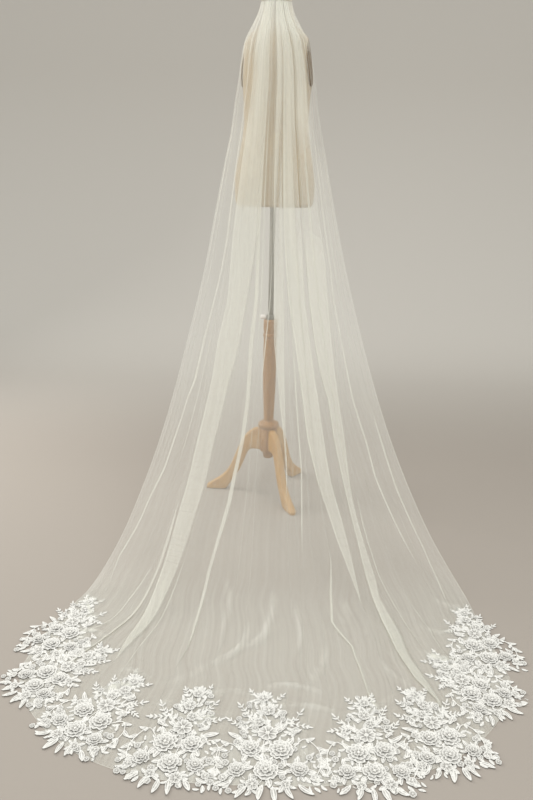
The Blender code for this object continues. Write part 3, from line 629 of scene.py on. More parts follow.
def frame_grid(u, v):
    p, width = base_grid(u, v)
    d = 0.015
    across = base_grid(np.minimum(u + d, 1), v)[0] - base_grid(np.maximum(u - d, -1), v)[0]
    along = base_grid(u, np.minimum(v + d, LENGTH))[0] - base_grid(u, np.maximum(v - d, 0))[0]
    n = np.cross(across, along)
    n /= np.linalg.norm(n, axis=-1)[..., None]
    return p, n, width


# Folds where the net doubles back on itself, in the order in which the cloth runs
# from the left edge to the right one. turn: "up" lays the cloth that comes after it on top,
# "down" tucks it under. ply: height between two layers. A wide fold has its left and
# right crease at stations down the panel, in halves of the section's width; a narrow one has
# its line and its width in metres. Each is there from `top` to `end`, and opens out over the fades.
FOLDS = (
    dict(turn="up", ply=.0009, width=.007, top=-.5, end=1.00, fade=.25, at=((0, -.955), (2.7, -.965))),
    dict(turn="down", ply=.0009, width=.006, top=-.5, end=1.20, fade=.30, at=((0, -.88), (1.3, -.90), (2.0, -.95), (2.7, -.955))),
    dict(turn="up", ply=.0011, width=.009, top=-.5, end=2.16, fade=.20,
         at=((0, -.78), (.8, -.70), (.92, -.72), (1.03, -.75), (1.18, -.78), (1.33, -.79), (1.40, -.82), (1.55, -.85),
             (1.66, -.86), (1.78, -.90), (1.86, -.91), (2.0, -.94), (2.11, -.91), (2.19, -.90), (2.7, -.90))),
    dict(turn="down", ply=.0009, width=.006, top=1.02, end=1.75, fade=.22, at=((0, -.72), (.8, -.676), (1.2, -.705), (1.5, -.74), (1.9, -.79), (2.14, -.83), (2.24, -.83), (2.37, -.87), (2.7, -.88))),
    dict(turn="up", ply=.0010, width=.009, top=1.93, end=2.40, fade=.14, at=((0, -.672), (.8, -.656), (1.2, -.672), (1.9, -.695), (2.02, -.715), (2.14, -.75), (2.24, -.76), (2.37, -.84), (2.7, -.86))),
    dict(turn="down", ply=.0014, width=.012, top=1.72, end=2.62, fade=.20,
         at=((0, -.645), (.8, -.635), (1.2, -.64), (1.54, -.665), (1.83, -.672), (2.0, -.668), (2.1, -.672), (2.2, -.688), (2.3, -.715),
             (2.4, -.755), (2.55, -.80), (2.7, -.82))),
    dict(turn="up", ply=.0030, end=2.40, top=-.5, fade=.22, stations=(
        (0, -.62, -.28), (.81, -.61, -.27), (.89, -.60, -.30), (1.03, -.57, -.35), (1.18, -.61, -.38), (1.32, -.61, -.45),
        (1.54, -.64, -.50), (1.68, -.64, -.51), (1.83, -.65, -.54), (1.97, -.642, -.556), (2.10, -.636, -.572),
        (2.20, -.630, -.580), (2.39, -.622, -.598), (2.50, -.64, -.62), (2.7, -.65, -.63))),
    dict(turn="up", ply=.0009, width=.007, top=1.86, end=2.52, fade=.25, at=((0, -.27), (.8, -.255), (.89, -.285), (1.03, -.335), (1.18, -.365), (1.32, -.43), (1.54, -.485), (1.68, -.495), (1.83, -.525), (2.0, -.535), (2.2, -.545), (2.4, -.555), (2.7, -.585))),
    dict(turn="down", ply=.0014, width=.013, top=-.5, end=2.40, fade=.30,
         at=((0, -.25), (.81, -.24), (1.02, -.22), (1.17, -.25), (1.38, -.25), (1.52, -.27), (1.66, -.31), (1.73, -.32),
             (1.87, -.36), (1.97, -.38), (2.16, -.38), (2.26, -.36), (2.45, -.37), (2.7, -.37))),
    dict(turn="up", ply=.0009, width=.006, top=-.5, end=1.35, fade=.35, at=((0, -.17), (1.0, -.165), (1.4, -.19), (2.0, -.22), (2.7, -.24))),
    dict(turn="down", ply=.0009, width=.007, top=.88, end=1.45, fade=.20,
         at=((0, -.055), (.9, -.045), (1.02, -.055), (1.15, -.09), (1.3, -.125), (1.5, -.14), (2.0, -.15), (2.7, -.16))),
    dict(turn="up", ply=.0018, top=-.5, end=1.76, fade=.20, stations=(
        (0, -.03, .10), (.81, -.02, .11), (1.02, -.01, .11), (1.17, -.01, .10), (1.30, .025, .09), (1.38, .04, .088),
        (1.43, .050, .0865), (1.53, .070, .084), (1.62, .074, .086), (1.72, .066, .078), (1.9, .058, .070), (2.7, .05, .07))),
    dict(turn="down", ply=.0008, width=.005, top=-.5, end=1.10, fade=.30, at=((0, .16), (1.0, .15), (1.5, .13), (2.7, .10))),
    dict(turn="up", ply=.0010, width=.008, top=1.10, end=1.98, fade=.22, at=((0, .21), (1.2, .195), (1.62, .19), (1.92, .14), (2.1, .14), (2.7, .13))),
    dict(turn="down", ply=.0009, width=.006, top=-.5, end=1.15, fade=.30, at=((0, .27), (1.0, .25), (1.5, .24), (1.9, .20), (2.7, .22))),
    dict(turn="up", ply=.0011, width=.0105, top=1.86, end=2.56, fade=.14,
         at=((0, .31), (1.0, .30), (1.93, .305), (2.03, .27), (2.13, .25), (2.23, .33), (2.32, .35), (2.45, .36), (2.52, .40), (2.7, .40))),
    dict(turn="down", ply=.0026, top=-.5, end=2.12, fade=.24, stations=(
        (0, .12, .37), (.81, .13, .39), (1.02, .16, .36), (1.17, .21, .38), (1.30, .24, .39), (1.38, .25, .40),
        (1.51, .26, .40), (1.66, .30, .40), (1.80, .35, .425), (1.93, .385, .43), (2.07, .405, .425), (2.14, .43, .445), (2.7, .45, .46))),
    dict(turn="up", ply=.0008, width=.006, top=-.5, end=1.30, fade=.35, at=((0, .30), (1.0, .29), (1.3, .33), (1.7, .415), (2.0, .450), (2.7, .475))),
    dict(turn="up", ply=.0009, width=.006, top=-.5, end=1.05, fade=.30, at=((0, .42), (1.0, .42), (1.4, .46), (2.0, .468), (2.7, .50))),
    dict(turn="down", ply=.0008, width=.006, top=-.5, end=1.00, fade=.25, at=((0, .55), (1.0, .53), (1.3, .50), (2.0, .490), (2.7, .53))),
    dict(turn="up", ply=.0028, top=-.5, end=2.58, fade=.20, stations=(
        (0, .44, .70), (.89, .43, .69), (1.02, .42, .65), (1.17, .43, .62), (1.30, .46, .60), (1.38, .49, .59),
        (1.52, .485, .575), (1.66, .49, .54), (1.73, .49, .53), (1.80, .49, .525), (1.87, .49, .53), (2.0, .48, .53),
        (2.07, .48, .515), (2.15, .49, .54), (2.23, .51, .56), (2.32, .53, .565), (2.41, .55, .585), (2.50, .585, .61), (2.7, .60, .62))),
    dict(turn="down", ply=.0008, width=.006, top=-.5, end=1.10, fade=.25, at=((0, .58), (1.0, .54), (1.4, .54), (1.8, .53), (2.0, .533), (2.3, .575), (2.7, .635))),
    dict(turn="up", ply=.0011, width=.009, top=1.66, end=2.34, fade=.16,
         at=((0, .71), (.9, .70), (1.2, .645), (1.5, .60), (1.82, .555), (2.0, .555), (2.07, .57), (2.18, .60), (2.29, .64), (2.7, .67))),
    dict(turn="down", ply=.0010, width=.008, top=2.00, end=2.44, fade=.14,
         at=((0, .745), (.9, .735), (1.2, .69), (1.6, .66), (2.1, .66), (2.24, .71), (2.39, .73), (2.7, .735))),
    dict(turn="down", ply=.0010, width=.009, top=-.5, end=2.06, fade=.20,
         at=((0, .80), (.9, .765), (1.02, .735), (1.21, .735), (1.39, .73), (1.54, .76), (1.67, .75), (1.82, .78), (1.98, .81), (2.7, .82))),
    dict(turn="up", ply=.0009, width=.006, top=-.5, end=1.45, fade=.30, at=((0, .87), (1.0, .83), (1.5, .83), (2.0, .845), (2.7, .86))),
    dict(turn="down", ply=.0010, width=.009, top=1.36, end=2.24, fade=.16,
         at=((0, .93), (1.0, .90), (1.56, .90), (1.72, .89), (1.92, .905), (2.07, .885), (2.16, .87), (2.7, .90))),
    dict(turn="up", ply=.0009, width=.006, top=-.5, end=1.10, fade=.30, at=((0, .96), (2.7, .96))),
)


def ripple(u, v):
    """Height of the gathers that all layers share."""
    v = v[:, None]
    drift = 0.010 * np.sin(3.1 * v + 5 * u) + 0.006 * np.sin(7.3 * v + 1.0)
    w = u + drift
    top = np.interp(v, (0, .06, .3, .8, 1.2, 1.6, 2.0, 2.3, 2.7), (.0007, .0009, .0012, .0018, .0024, .0022, .0014, .0006, .0003))
    fine = (np.sin(2 * pi * (5.9 * w + .13)) + 0.8 * np.sin(2 * pi * (8.7 * w + .41)) + 0.7 * np.sin(2 * pi * (13.1 * w + .77))
            + 0.45 * np.sin(2 * pi * (19.7 * w + .29)))
    fine = np.sign(fine) * np.abs(fine / 2.2) ** 1.25
    broad = (np.sin(2 * pi * (1.35 * w + .2)) + 0.7 * np.sin(2 * pi * (2.6 * w + .62)))
    wide = np.interp(v, (0, .4, 1.0, 1.6, 2.1, 2.5, 2.7), (.0, .0015, .0050, .0070, .0040, .0006, .0004))
    return top * fine + wide * broad / 1.7


# Soft ridges where the cloth lies on the floor: (u, down) from end to end, height, half width.
RIDGES = (
    (((-.02, 2.385), (.04, 2.372), (.11, 2.378), (.20, 2.405)), .0062, .0036),
    (((.05, 2.452), (.12, 2.447), (.19, 2.462), (.27, 2.495)), .0056, .0036),
    (((-.40, 2.41), (-.31, 2.36), (-.20, 2.27), (-.08, 2.19), (.02, 2.12)), .0030, .0075),
    (((-.13, 2.13), (-.15, 2.22), (-.20, 2.30)), .0055, .0060),
    (((-.02, 2.02), (-.04, 2.12), (-.10, 2.22)), .0060, .0065),
    (((-.57, 2.40), (-.51, 2.385), (-.44, 2.39)), .0045, .0038),
    (((-.60, 2.50), (-.53, 2.45), (-.46, 2.42)), .0045, .0038),
    (((-.44, 2.52), (-.36, 2.47), (-.28, 2.46)), .0035, .0038),
    (((-.30, 2.56), (-.20, 2.50), (-.08, 2.47)), .0035, .0042),
    (((-.24, 2.42), (-.12, 2.40), (-.02, 2.43)), .0032, .0050),
    (((.22, 2.20), (.20, 2.30), (.14, 2.37)), .0045, .0060),
    (((.30, 2.52), (.38, 2.47), (.47, 2.44)), .0040, .0038),
    (((.44, 2.30), (.47, 2.36), (.52, 2.43)), .0038, .0038),
    (((.62, 2.30), (.68, 2.36), (.76, 2.40)), .0040, .0038),
    (((.66, 2.20), (.74, 2.26), (.84, 2.29)), .0040, .0042),
    (((-.86, 2.34), (-.78, 2.30), (-.70, 2.31)), .0040, .0038),
    (((-.97, 2.20), (-.90, 2.24), (-.82, 2.25)), .0040, .0042),
    (((.80, 2.12), (.88, 2.18), (.96, 2.21)), .0040, .0042),
    (((-.28, 1.98), (-.24, 2.08), (-.25, 2.18)), .0042, .0060),
    (((.08, 2.06), (.10, 2.16), (.09, 2.26)), .0042, .0060),
    (((.34, 2.06), (.31, 2.14)), .0036, .0050),
)


def ridges(u, v, half_width):
    """Sum of the soft ridges; u and v to metres by the section's half width."""
    x = u * half_width[:, None]
    y = np.repeat(v[:, None], u.shape[1], 1)
    total = np.zeros_like(u)
    for line, height, soft in RIDGES:
        pts = hermite(np.array(line), 49) if len(line) > 2 else np.linspace(line[0], line[1], 49)
        hw = np.interp(pts[:, 1], v, half_width)
        px, py = pts[:, 0] * hw, pts[:, 1]
        share = np.sin(np.linspace(0, pi, 49)) ** 0.6
        soft = max(soft, .0066)
        best = np.zeros_like(u)
        near = (np.abs(y - py.mean()) < (np.ptp(py) / 2 + 0.1))
        idx = np.where(near.any(axis=1))[0]
        if not len(idx):
            continue
        sl = slice(idx[0], idx[-1] + 1)
        xs, ys = x[sl], y[sl]
        for a, b, s in zip(px, py, share):
            d2 = (xs - a) ** 2 + (ys - b) ** 2
            best[sl] = np.maximum(best[sl], s * np.exp(-d2 / (2 * soft ** 2)))
        total += height * best
    return total


def tulle():
    v = np.unique(np.concatenate([np.linspace(0, .30, 22), np.linspace(.30, 1.9, 96), np.linspace(1.9, LENGTH, 92)]))
    half = base_grid(np.zeros((len(v), 1)), v)[1] / 2
    n_rows = len(v)
    cols_u, cols_l, cols_g = [], [], []

    # each fold's creases, how far it overlaps, and how high it stands
    items = []
    for f in FOLDS:
        if "stations" in f:
            t = np.array(f["stations"])
            left, right = np.interp(v, t[:, 0], t[:, 1]), np.interp(v, t[:, 0], t[:, 2])
            mid, wide = (left + right) / 2, (right - left)
        else:
            t = np.array(f["at"])
            mid = np.interp(v, t[:, 0], t[:, 1])
            slim = 1.0 if f["width"] > .010 else .55
            wide = slim * f["width"] / half * np.interp(v, (0, .2, .8, 1.7, 2.3), (.45, .7, 1.0, 1.0, .55))
        there = smooth(v, f["top"], f["top"] + 0.2) * (1 - smooth(v, f["end"] - f["fade"], f["end"]))
        overlap = np.where(there > 0.02, wide * np.sqrt(np.clip(there, 0, 1)), 0) - 0.0035 * (1 - there)
        high = f["ply"] * smooth(there, 0.0, 0.35) * np.interp(v, (0, .3, .9), (.22, .42, 1.0))
        items.append(dict(left=mid - overlap / 2, right=mid + overlap / 2, ply=high, turn=f["turn"],
                          over=np.clip(overlap / 0.0035, -1, 1)))

    nose = np.minimum(0.0016 / half, 0.0055)
    wide_fold = [("stations" in f) for f in FOLDS]

    def start_of(i):      # where the cloth's run meets fold i
        return items[i]["right"] - nose

    def end_of(i):        # where the cloth's run goes on after fold i
        return items[i]["left"] + nose

    starts = [start_of(i) for i in range(len(items))] + [np.ones(n_rows)]
    ends = [-np.ones(n_rows)] + [end_of(i) for i in range(len(items))]
    gaps = np.array([s - e for s, e in zip(starts, ends)])
    bad = np.argwhere(gaps.min(axis=1) < 0.002)
    for (k,) in bad:
        j = int(np.argmin(gaps[k]))
        print("narrow run", k, "gap", round(float(gaps[k, j]), 4), "at", round(float(v[j]), 3))

    spare = 436 - 2 - sum((14 if w else 8) for w in wide_fold)
    mean = np.maximum(gaps, 0.01).mean(axis=1)
    counts = np.maximum(np.round(spare * mean / mean.sum()).astype(int), 4)

    def run(k):
        a, b, n = ends[k], starts[k], counts[k]
        for i in range(n):
            t = i / (n - 1)
            u = a + (b - a) * t
            level = np.zeros(n_rows)
            if k > 0 and items[k - 1]["turn"] == "up":
                prev = items[k - 1]
                d = 0.010 / half
                level = np.maximum(level, 2 * prev["ply"] * (1 - smooth((u - prev["right"]) / d)))
            if k < len(items) and items[k]["turn"] == "down":
                nxt = items[k]
                d = 0.010 / half
                level = np.maximum(level, 2 * nxt["ply"] * smooth((u - nxt["left"] + d) / d))
            cols_u.append(u)
            cols_l.append(level)
            cols_g.append(1.0)

    def crease(i):
        it = items[i]
        high = it["ply"]
        side = nose / 3 * np.maximum(-it["over"], 0)
        a, b = it["right"] - nose * it["over"], it["left"] + nose * it["over"]
        e = np.clip(0.0020 / half / np.maximum(np.abs(b - a), 1e-6), 0, 0.12)
        if wide_fold[i]:
            t = [0 * e, e, 2.2 * e] + [2.2 * e + (1 - 4.4 * e) * j / 5 for j in range(1, 5)] + [1 - 2.2 * e, 1 - e, 1 + 0 * e]
            glow = [1.8, 1.8, 1.8, 1.5] + [1.0] * 6 + [1.5, 1.8, 1.8, 1.8]
        else:
            t = [0 * e, 0 * e + 1 / 3, 0 * e + 2 / 3, 1 + 0 * e]
            glow = [1.9] * 4 + [1.9] * 4
        rows = [(it["right"] - side, 0.12 + 0 * e), (it["right"] + side, 0.30 + 0 * e)]
        rows += [(a + (b - a) * q, 0.42 + 0.16 * q) for q in t]
        rows += [(it["left"] - side, 0.70 + 0 * e), (it["left"] + side, 0.88 + 0 * e)]
        for (u, share), g in zip(rows, glow):
            cols_u.append(u)
            cols_l.append(2 * high * (1 - share if it["turn"] == "down" else share))
            cols_g.append(g)

    for k in range(len(items) + 1):
        run(k)
        if k < len(items):
            crease(k)
    U, L = np.array(cols_u).T, np.array(cols_l).T
    P, N, width = frame_grid(U, v)
    lie = smooth(v, 2.05, 2.35)[:, None]
    hem = 1 - 0.75 * smooth(v, 2.42, 2.60)[:, None]
    bunched = ridges(U, v, half) * hem
    H = L + ripple(U, v) * (1 - 0.3 * lie) + bunched
    lift = 0.0014
    Q = P + N * (H[..., None] + lift)
    # on the floor nothing goes through it, and hollows lie on it
    Q[..., 2] = np.maximum(Q[..., 2], 0.0006 + 0.15 * np.clip(H, 0, None))
    cloth = np.concatenate([np.zeros((n_rows, 1)), np.cumsum(np.linalg.norm(np.diff(Q, axis=1), axis=2), axis=1)], axis=1)
    made = cloth[:, -1:]
    gather = np.repeat(np.maximum(CUT_WIDTH / made, 1.0), U.shape[1], 1)
    vv = v[:, None]
    there = np.stack([smooth(v, f["top"], f["top"] + 0.2) * (1 - smooth(v, f["end"] - f["fade"], f["end"])) for f in FOLDS])
    glow = np.ones_like(U)
    at = 0
    for k in range(len(items) + 1):
        at += counts[k]
        if k < len(items):
            n = 14 if wide_fold[k] else 8
            glow[:, at:at + n] += there[k][:, None] * (np.array(cols_g[at:at + n]) - 1)[None, :] \
                * smooth(vv, .25, .8)
            at += n
    rise = np.abs(np.gradient(H - L, axis=1))
    base = np.maximum(np.linalg.norm(np.gradient(P, axis=1), axis=2), 0.0004)
    slope = np.sqrt(1 + np.clip(rise / base, 0, 1.6) ** 2)
    gather = gather * glow * slope * (1 + 1.25 * (bunched / .006) ** 1.5)
    # on the floor the net has sunk on itself, lengthways too
    gather = gather * (1 + 0.95 * smooth(vv, 1.95, 2.25))
    # the closer ground that the sprays are worked on
    ground = np.zeros_like(U)
    for node, tip_x, tip_f, base_x, base_f, width_, seed, flip in SPRAYS:
        up = np.array([tip_x - base_x, tip_f - base_f])
        tall = float(np.hypot(*up))
        up = up / tall
        dx, dy = Q[..., 0] - base_x, Q[..., 1] - base_f
        y = (dx * up[0] + dy * up[1]) / tall
        x = (dx * -up[1] + dy * up[0]) * flip
        room = np.interp(y, ENVELOPE[:, 0], ENVELOPE[:, 1]) * width_ / 0.240 - np.abs(x)
        ground = np.maximum(ground, smooth(room, -.004, .010) * smooth(y, -.12, -.08) * (1 - smooth(y, .90, 1.0))
                            * (Q[..., 2] < 0.08))
    gather = gather * (1 + 0.75 * ground)
    shoulder = smooth(U, .66, .86) * smooth(vv, .10, .20) * (1 - smooth(vv, .42, .62))
    slit = np.exp(-((U - .105 + .20 * np.clip(vv - .36, 0, .4)) / (.030 + .02 * vv)) ** 2) * smooth(vv, .28, .50) * (1 - smooth(vv, .78, 1.1))
    sides = smooth(np.abs(U), .45, .85) * smooth(vv, .10, .30) * (1 - smooth(vv, 1.0, 1.6))
    lower = smooth(U, .20, .36) * (1 - smooth(U, .66, .82)) * smooth(vv, .34, .54) * (1 - smooth(vv, .74, .90))
    upper = smooth(U, -.50, -.25) * (1 - smooth(U, .60, .80)) * smooth(vv, .05, .14) * (1 - smooth(vv, .40, .62))
    left = (1 - smooth(U, -.62, -.40)) * smooth(vv, .12, .22) * (1 - smooth(vv, .34, .50))
    stem = np.exp(-((U + .05) / .07) ** 2) * smooth(vv, .90, 1.1) * (1 - smooth(vv, 1.6, 1.9))
    gather = gather * (1 - .50 * lower) * (1 - .26 * upper) * (1 - .38 * left) * (1 - .30 * stem)
    gather = gather * (1 - .90 * shoulder) * (1 - .60 * slit) * (1 - .28 * sides)
    uv = np.stack([(cloth / made - 0.5) * CUT_WIDTH, np.repeat(v[:, None], U.shape[1], 1)], axis=-1)
    obj = mesh_object("veil_net", world(Q).reshape(-1, 3), grid_faces(*U.shape), MAT["net"], uv=uv.reshape(-1, 2),
                      attributes={"gather": gather.ravel()})
    d1 = np.diff(Q, axis=0)[:, :-1]
    d2 = np.diff(Q, axis=1)[:-1]
    area = float(np.linalg.norm(np.cross(d1, d2), axis=2).sum())
    print("net:", U.shape, "area", round(area, 3), "made width", [round(float(x), 3) for x in made[::30, 0]])
    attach(obj, "root")
    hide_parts("tulle_panel")
    return obj


def bound_edge():
    """A rolled ribbon over the gathers, pulled into small puckers by its stitches."""
    n, m = 150, 14
    u = np.linspace(-0.985, 0.985, n)[None, :]
    p, nn, _ = frame_grid(u, np.zeros(1))
    p, nn = p[0], nn[0]
    flat = nn.copy()
    flat[:, 2] = 0
    flat /= np.linalg.norm(flat, axis=1)[:, None]
    k = np.linspace(0, 2 * pi, m, endpoint=False)
    pucker = 0.00035 * np.sin(np.linspace(0, 2 * pi * 31, n)) + 0.0002 * np.sin(np.linspace(0, 2 * pi * 13, n) + 1)
    ends = np.sqrt(np.clip(1 - np.abs(np.linspace(-1, 1, n)) ** 40, 0.02, 1))
    r = (0.0041 + pucker) * ends
    centre = p + flat * 0.0026
    centre[:, 2] = 1.856 + 0.0012 + 0.0042 + 0.0003
    ring = (centre[:, None, :] + flat[:, None, :] * (r[:, None] * np.cos(k) * 1.05)[..., None]
            + np.array([0, 0, 1.0]) * (r[:, None] * np.sin(k))[..., None])
    obj = mesh_object("bound_roll", world(ring).reshape(-1, 3), grid_faces(n, m, close=True), MAT["ribbon"])
    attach(obj, "root")
    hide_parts("bound_edge")
    return obj


def comb():
    """A clear plastic comb behind the gathers: a bowed bar with round tapered teeth,
    wrapped on with thread."""
    verts, quads, count = [], [], 0

    def tube(points, radii, m=10, squash=1.0):
        nonlocal count
        pts = np.asarray(points, float)
        d = np.gradient(pts, axis=0)
        d /= np.linalg.norm(d, axis=1)[:, None]
        side = np.cross(d, np.array([0.0, 1.0, 0.0]))
        low = np.linalg.norm(side, axis=1) < 0.2
        side[low] = np.cross(d[low], np.array([1.0, 0.0, 0.0]))
        side /= np.linalg.norm(side, axis=1)[:, None]
        up = np.cross(d, side)
        k = np.linspace(0, 2 * pi, m, endpoint=False)
        ring = pts[:, None, :] + side[:, None, :] * (radii[:, None] * np.cos(k))[..., None] * squash \
            + up[:, None, :] * (radii[:, None] * np.sin(k))[..., None]
        verts.append(ring.reshape(-1, 3))
        quads.append(grid_faces(len(pts), m, close=True, first=count))
        count += len(pts) * m

    us = np.linspace(-0.84, 0.84, 60)[None, :]
    p, nn, _ = frame_grid(us, np.zeros(1))
    flat = nn[0].copy()
    flat[:, 2] = 0
    flat /= np.linalg.norm(flat, axis=1)[:, None]
    line = p[0] - flat * 0.0046
    line[:, 2] = 1.8500
    r = 0.0017 * np.sqrt(np.clip(1 - np.abs(np.linspace(-1, 1, 60)) ** 30, .03, 1))
    tube(line, r)
    for k in np.linspace(2, 57, 13).astype(int):
        top = line[k].copy()
        t = np.linspace(0, 1, 12)
        pts = np.repeat(top[None], 12, 0)
        pts[:, 2] = 1.850 - 0.0305 * t
        tube(pts, 0.00105 * (1 - 0.65 * t ** 1.6) * np.sqrt(np.clip(1 - t ** 12, .03, 1)), 8)
    obj = mesh_object("hair_comb", world(np.concatenate(verts)), np.concatenate(quads), MAT["comb"])
    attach(obj, "root")
    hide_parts("comb")
    # binding thread, two turns in each gap of the comb
    verts.clear()
    quads.clear()
    count = 0
    for k in np.linspace(4, 55, 12).astype(int):
        for shift in (-0.0006, 0.0006):
            a = np.linspace(0, 2 * pi, 17)
            tang = np.array([flat[k][1], -flat[k][0], 0.0])
            c = line[k] + tang * shift
            pts = c + flat[k] * (0.0021 * np.cos(a))[:, None] + np.array([0, 0, 1.0]) * (0.0021 * np.sin(a))[:, None]
            tube(pts, np.full(17, 0.00022), 5)
    thread = mesh_object("comb_thread", world(np.concatenate(verts)), np.concatenate(quads), MAT["ribbon"])
    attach(thread, "root")
    return obj, thread


# ------------------------------------------------------------------ the lace
class Heap:
    """Collects many small surfaces into one mesh."""

    def __init__(self):
        self.verts, self.quads, self.tris, self.relief, self.count = [], [], [], [], 0

    def add(self, pts, relief, quads=None, tris=None):
        self.verts.append(pts)
        self.relief.append(relief)
        if quads is not None:
            self.quads.append(quads + self.count)
        if tris is not None:
            self.tris.append(tris + self.count)
        self.count += len(pts)

    # tubes and beads get one painted shade value each: near 1 paints them fully lit white
    def tube(self, pts, radius, sides=6, relief=0.95):
        pts = np.asarray(pts, float)
        d = np.gradient(pts, axis=0)
        d /= np.linalg.norm(d, axis=1)[:, None] + 1e-12
        side = np.stack([-d[:, 1], d[:, 0], 0 * d[:, 0]], axis=1)
        side /= np.linalg.norm(side, axis=1)[:, None] + 1e-12
        up = np.cross(d, side)
        k = np.linspace(0, 2 * pi, sides, endpoint=False)
        r = np.broadcast_to(radius, (len(pts),))
        ring = (pts[:, None, :] + side[:, None, :] * (r[:, None] * np.cos(k))[..., None]
                + up[:, None, :] * (r[:, None] * np.sin(k))[..., None])
        self.add(ring.reshape(-1, 3), np.full(len(pts) * sides, relief), grid_faces(len(pts), sides, close=True))

    def bead(self, at, r, relief=1.0, flat=0.7):
        rows, m = 3, 6
        t = np.linspace(0.05, pi / 2 + 0.5, rows)[:, None]
        k = np.linspace(0, 2 * pi, m, endpoint=False)[None, :]
        pts = np.stack([at[0] + r * np.sin(t) * np.cos(k), at[1] + r * np.sin(t) * np.sin(k),
                        at[2] + flat * r * np.cos(t) + 0 * k], axis=-1)
        self.add(pts.reshape(-1, 3), np.full(rows * m, relief), grid_faces(rows, m, close=True),
                 np.stack([np.arange(1, m - 1) * 0, np.arange(1, m - 1), np.arange(2, m)], axis=1))

    def patch(self, outline, centre, height, around_relief=None, rings=(0.0, .35, .62, .82, .93, 1.0, 1.02), edge=0.0012):
        """A disc-like surface inside a closed outline (n,2). height(x, y, rho, k) lifts it and gives its painted shade,
        and its border is a raised cord that drops to the net, painted black there as a shadow outline."""
        n = len(outline)
        c = np.asarray(centre, float)
        pts, rel = [], []
        k = np.arange(n) / n
        for rho in rings[1:]:
            xy = c + (outline - c) * rho
            z, tone = height(xy[:, 0], xy[:, 1], np.full(n, rho), k)
            # painted shadow: the drop past the border gets tone zero, a dark outline round each piece
            if rho > 1.0:
                z = z - edge
                tone = tone * 0.0
            pts.append(np.stack([xy[:, 0], xy[:, 1], z], axis=1))
            rel.append(tone)
        z0, tone0 = height(c[None, 0], c[None, 1], np.zeros(1), np.zeros(1))
        verts = np.concatenate([np.concatenate(pts), [[c[0], c[1], z0[0]]]])
        rows = len(rings) - 1
        i = np.arange(n)
        fan = np.stack([i, (i + 1) % n, np.full(n, rows * n)], axis=1)
        self.add(verts, np.concatenate([np.concatenate(rel), tone0]), grid_faces(rows, n, close=True), fan)

    def build(self, name, place):
        verts = place(np.concatenate(self.verts))
        blocks = [np.concatenate(self.quads)]
        if self.tris:
            blocks.append(np.concatenate(self.tris))
        return mesh_object(name, verts, blocks, MAT["lace"], attributes={"relief": np.concatenate(self.relief)})


def turn2(p, angle):
    c, s = cos(angle), sin(angle)
    return np.stack([c * p[..., 0] - s * p[..., 1], s * p[..., 0] + c * p[..., 1]], axis=-1)


def leaf(heap, at, angle, length, width, z=0.0022, rise=0.0, bend=0.0, vein=0.0006, n=16, fine=True, rim=0.0007):
    """A pointed leaf from its stalk, towards angle (0 is +X), with a mid vein."""
    t = np.linspace(0, 2 * pi, n, endpoint=False)
    y = length * (1 - np.cos(t)) / 2
    x = width / 2 * np.sin(t) * np.abs(np.sin(t)) ** 0.35 * (1.12 - 0.35 * y / length)
    x = x + bend * length * np.sin(pi * y / length)
    outline = np.stack([y, -x], axis=1)
    ca, sa = cos(angle), sin(angle)
    world_line = turn2(outline, angle) + np.asarray(at)
    centre = turn2(np.array([length * 0.5, -bend * length]), angle) + np.asarray(at)

    def height(px, py, rho, k):
        lx = (px - at[0]) * ca + (py - at[1]) * sa
        ly = -(px - at[0]) * sa + (py - at[1]) * ca
        mid = -bend * length * np.sin(pi * np.clip(lx / length, 0, 1))
        off = ly - mid
        hw = np.maximum(width / 2 * np.sin(pi * np.clip(lx / length, 0.02, 0.98)), 1e-5)
        q = np.clip(np.abs(off) / hw, 0, 1)
        cord = np.exp(-((rho - 0.95) / 0.10) ** 2)
        rib = np.exp(-(off / 0.0009) ** 2)
        slant = 0.5 + 0.5 * np.cos((lx * 1.0 - np.abs(off) * 1.3) * 2 * pi / 0.0042)
        z_ = z + rise * lx / length + 0.0010 * (1 - q ** 2) - 0.0009 * np.exp(-((q - .45) / .25) ** 2) \
            + rim * cord + vein * rib + 0.00018 * slant
        # painted shade: darker towards the stalk, with painted highlight on the raised rim cord and the vein; the slant
        # stripes are the stitches' own pattern
        tone = np.clip(0.18 + 0.70 * cord + 0.60 * rib + 0.20 * slant + 0.22 * lx / length, 0, 1)
        return z_, tone
    rings = (0, .42, .74, .90, .98, 1.07) if fine else (0, .50, .84, .96, 1.12)
    heap.patch(world_line, centre, height, rings=rings)


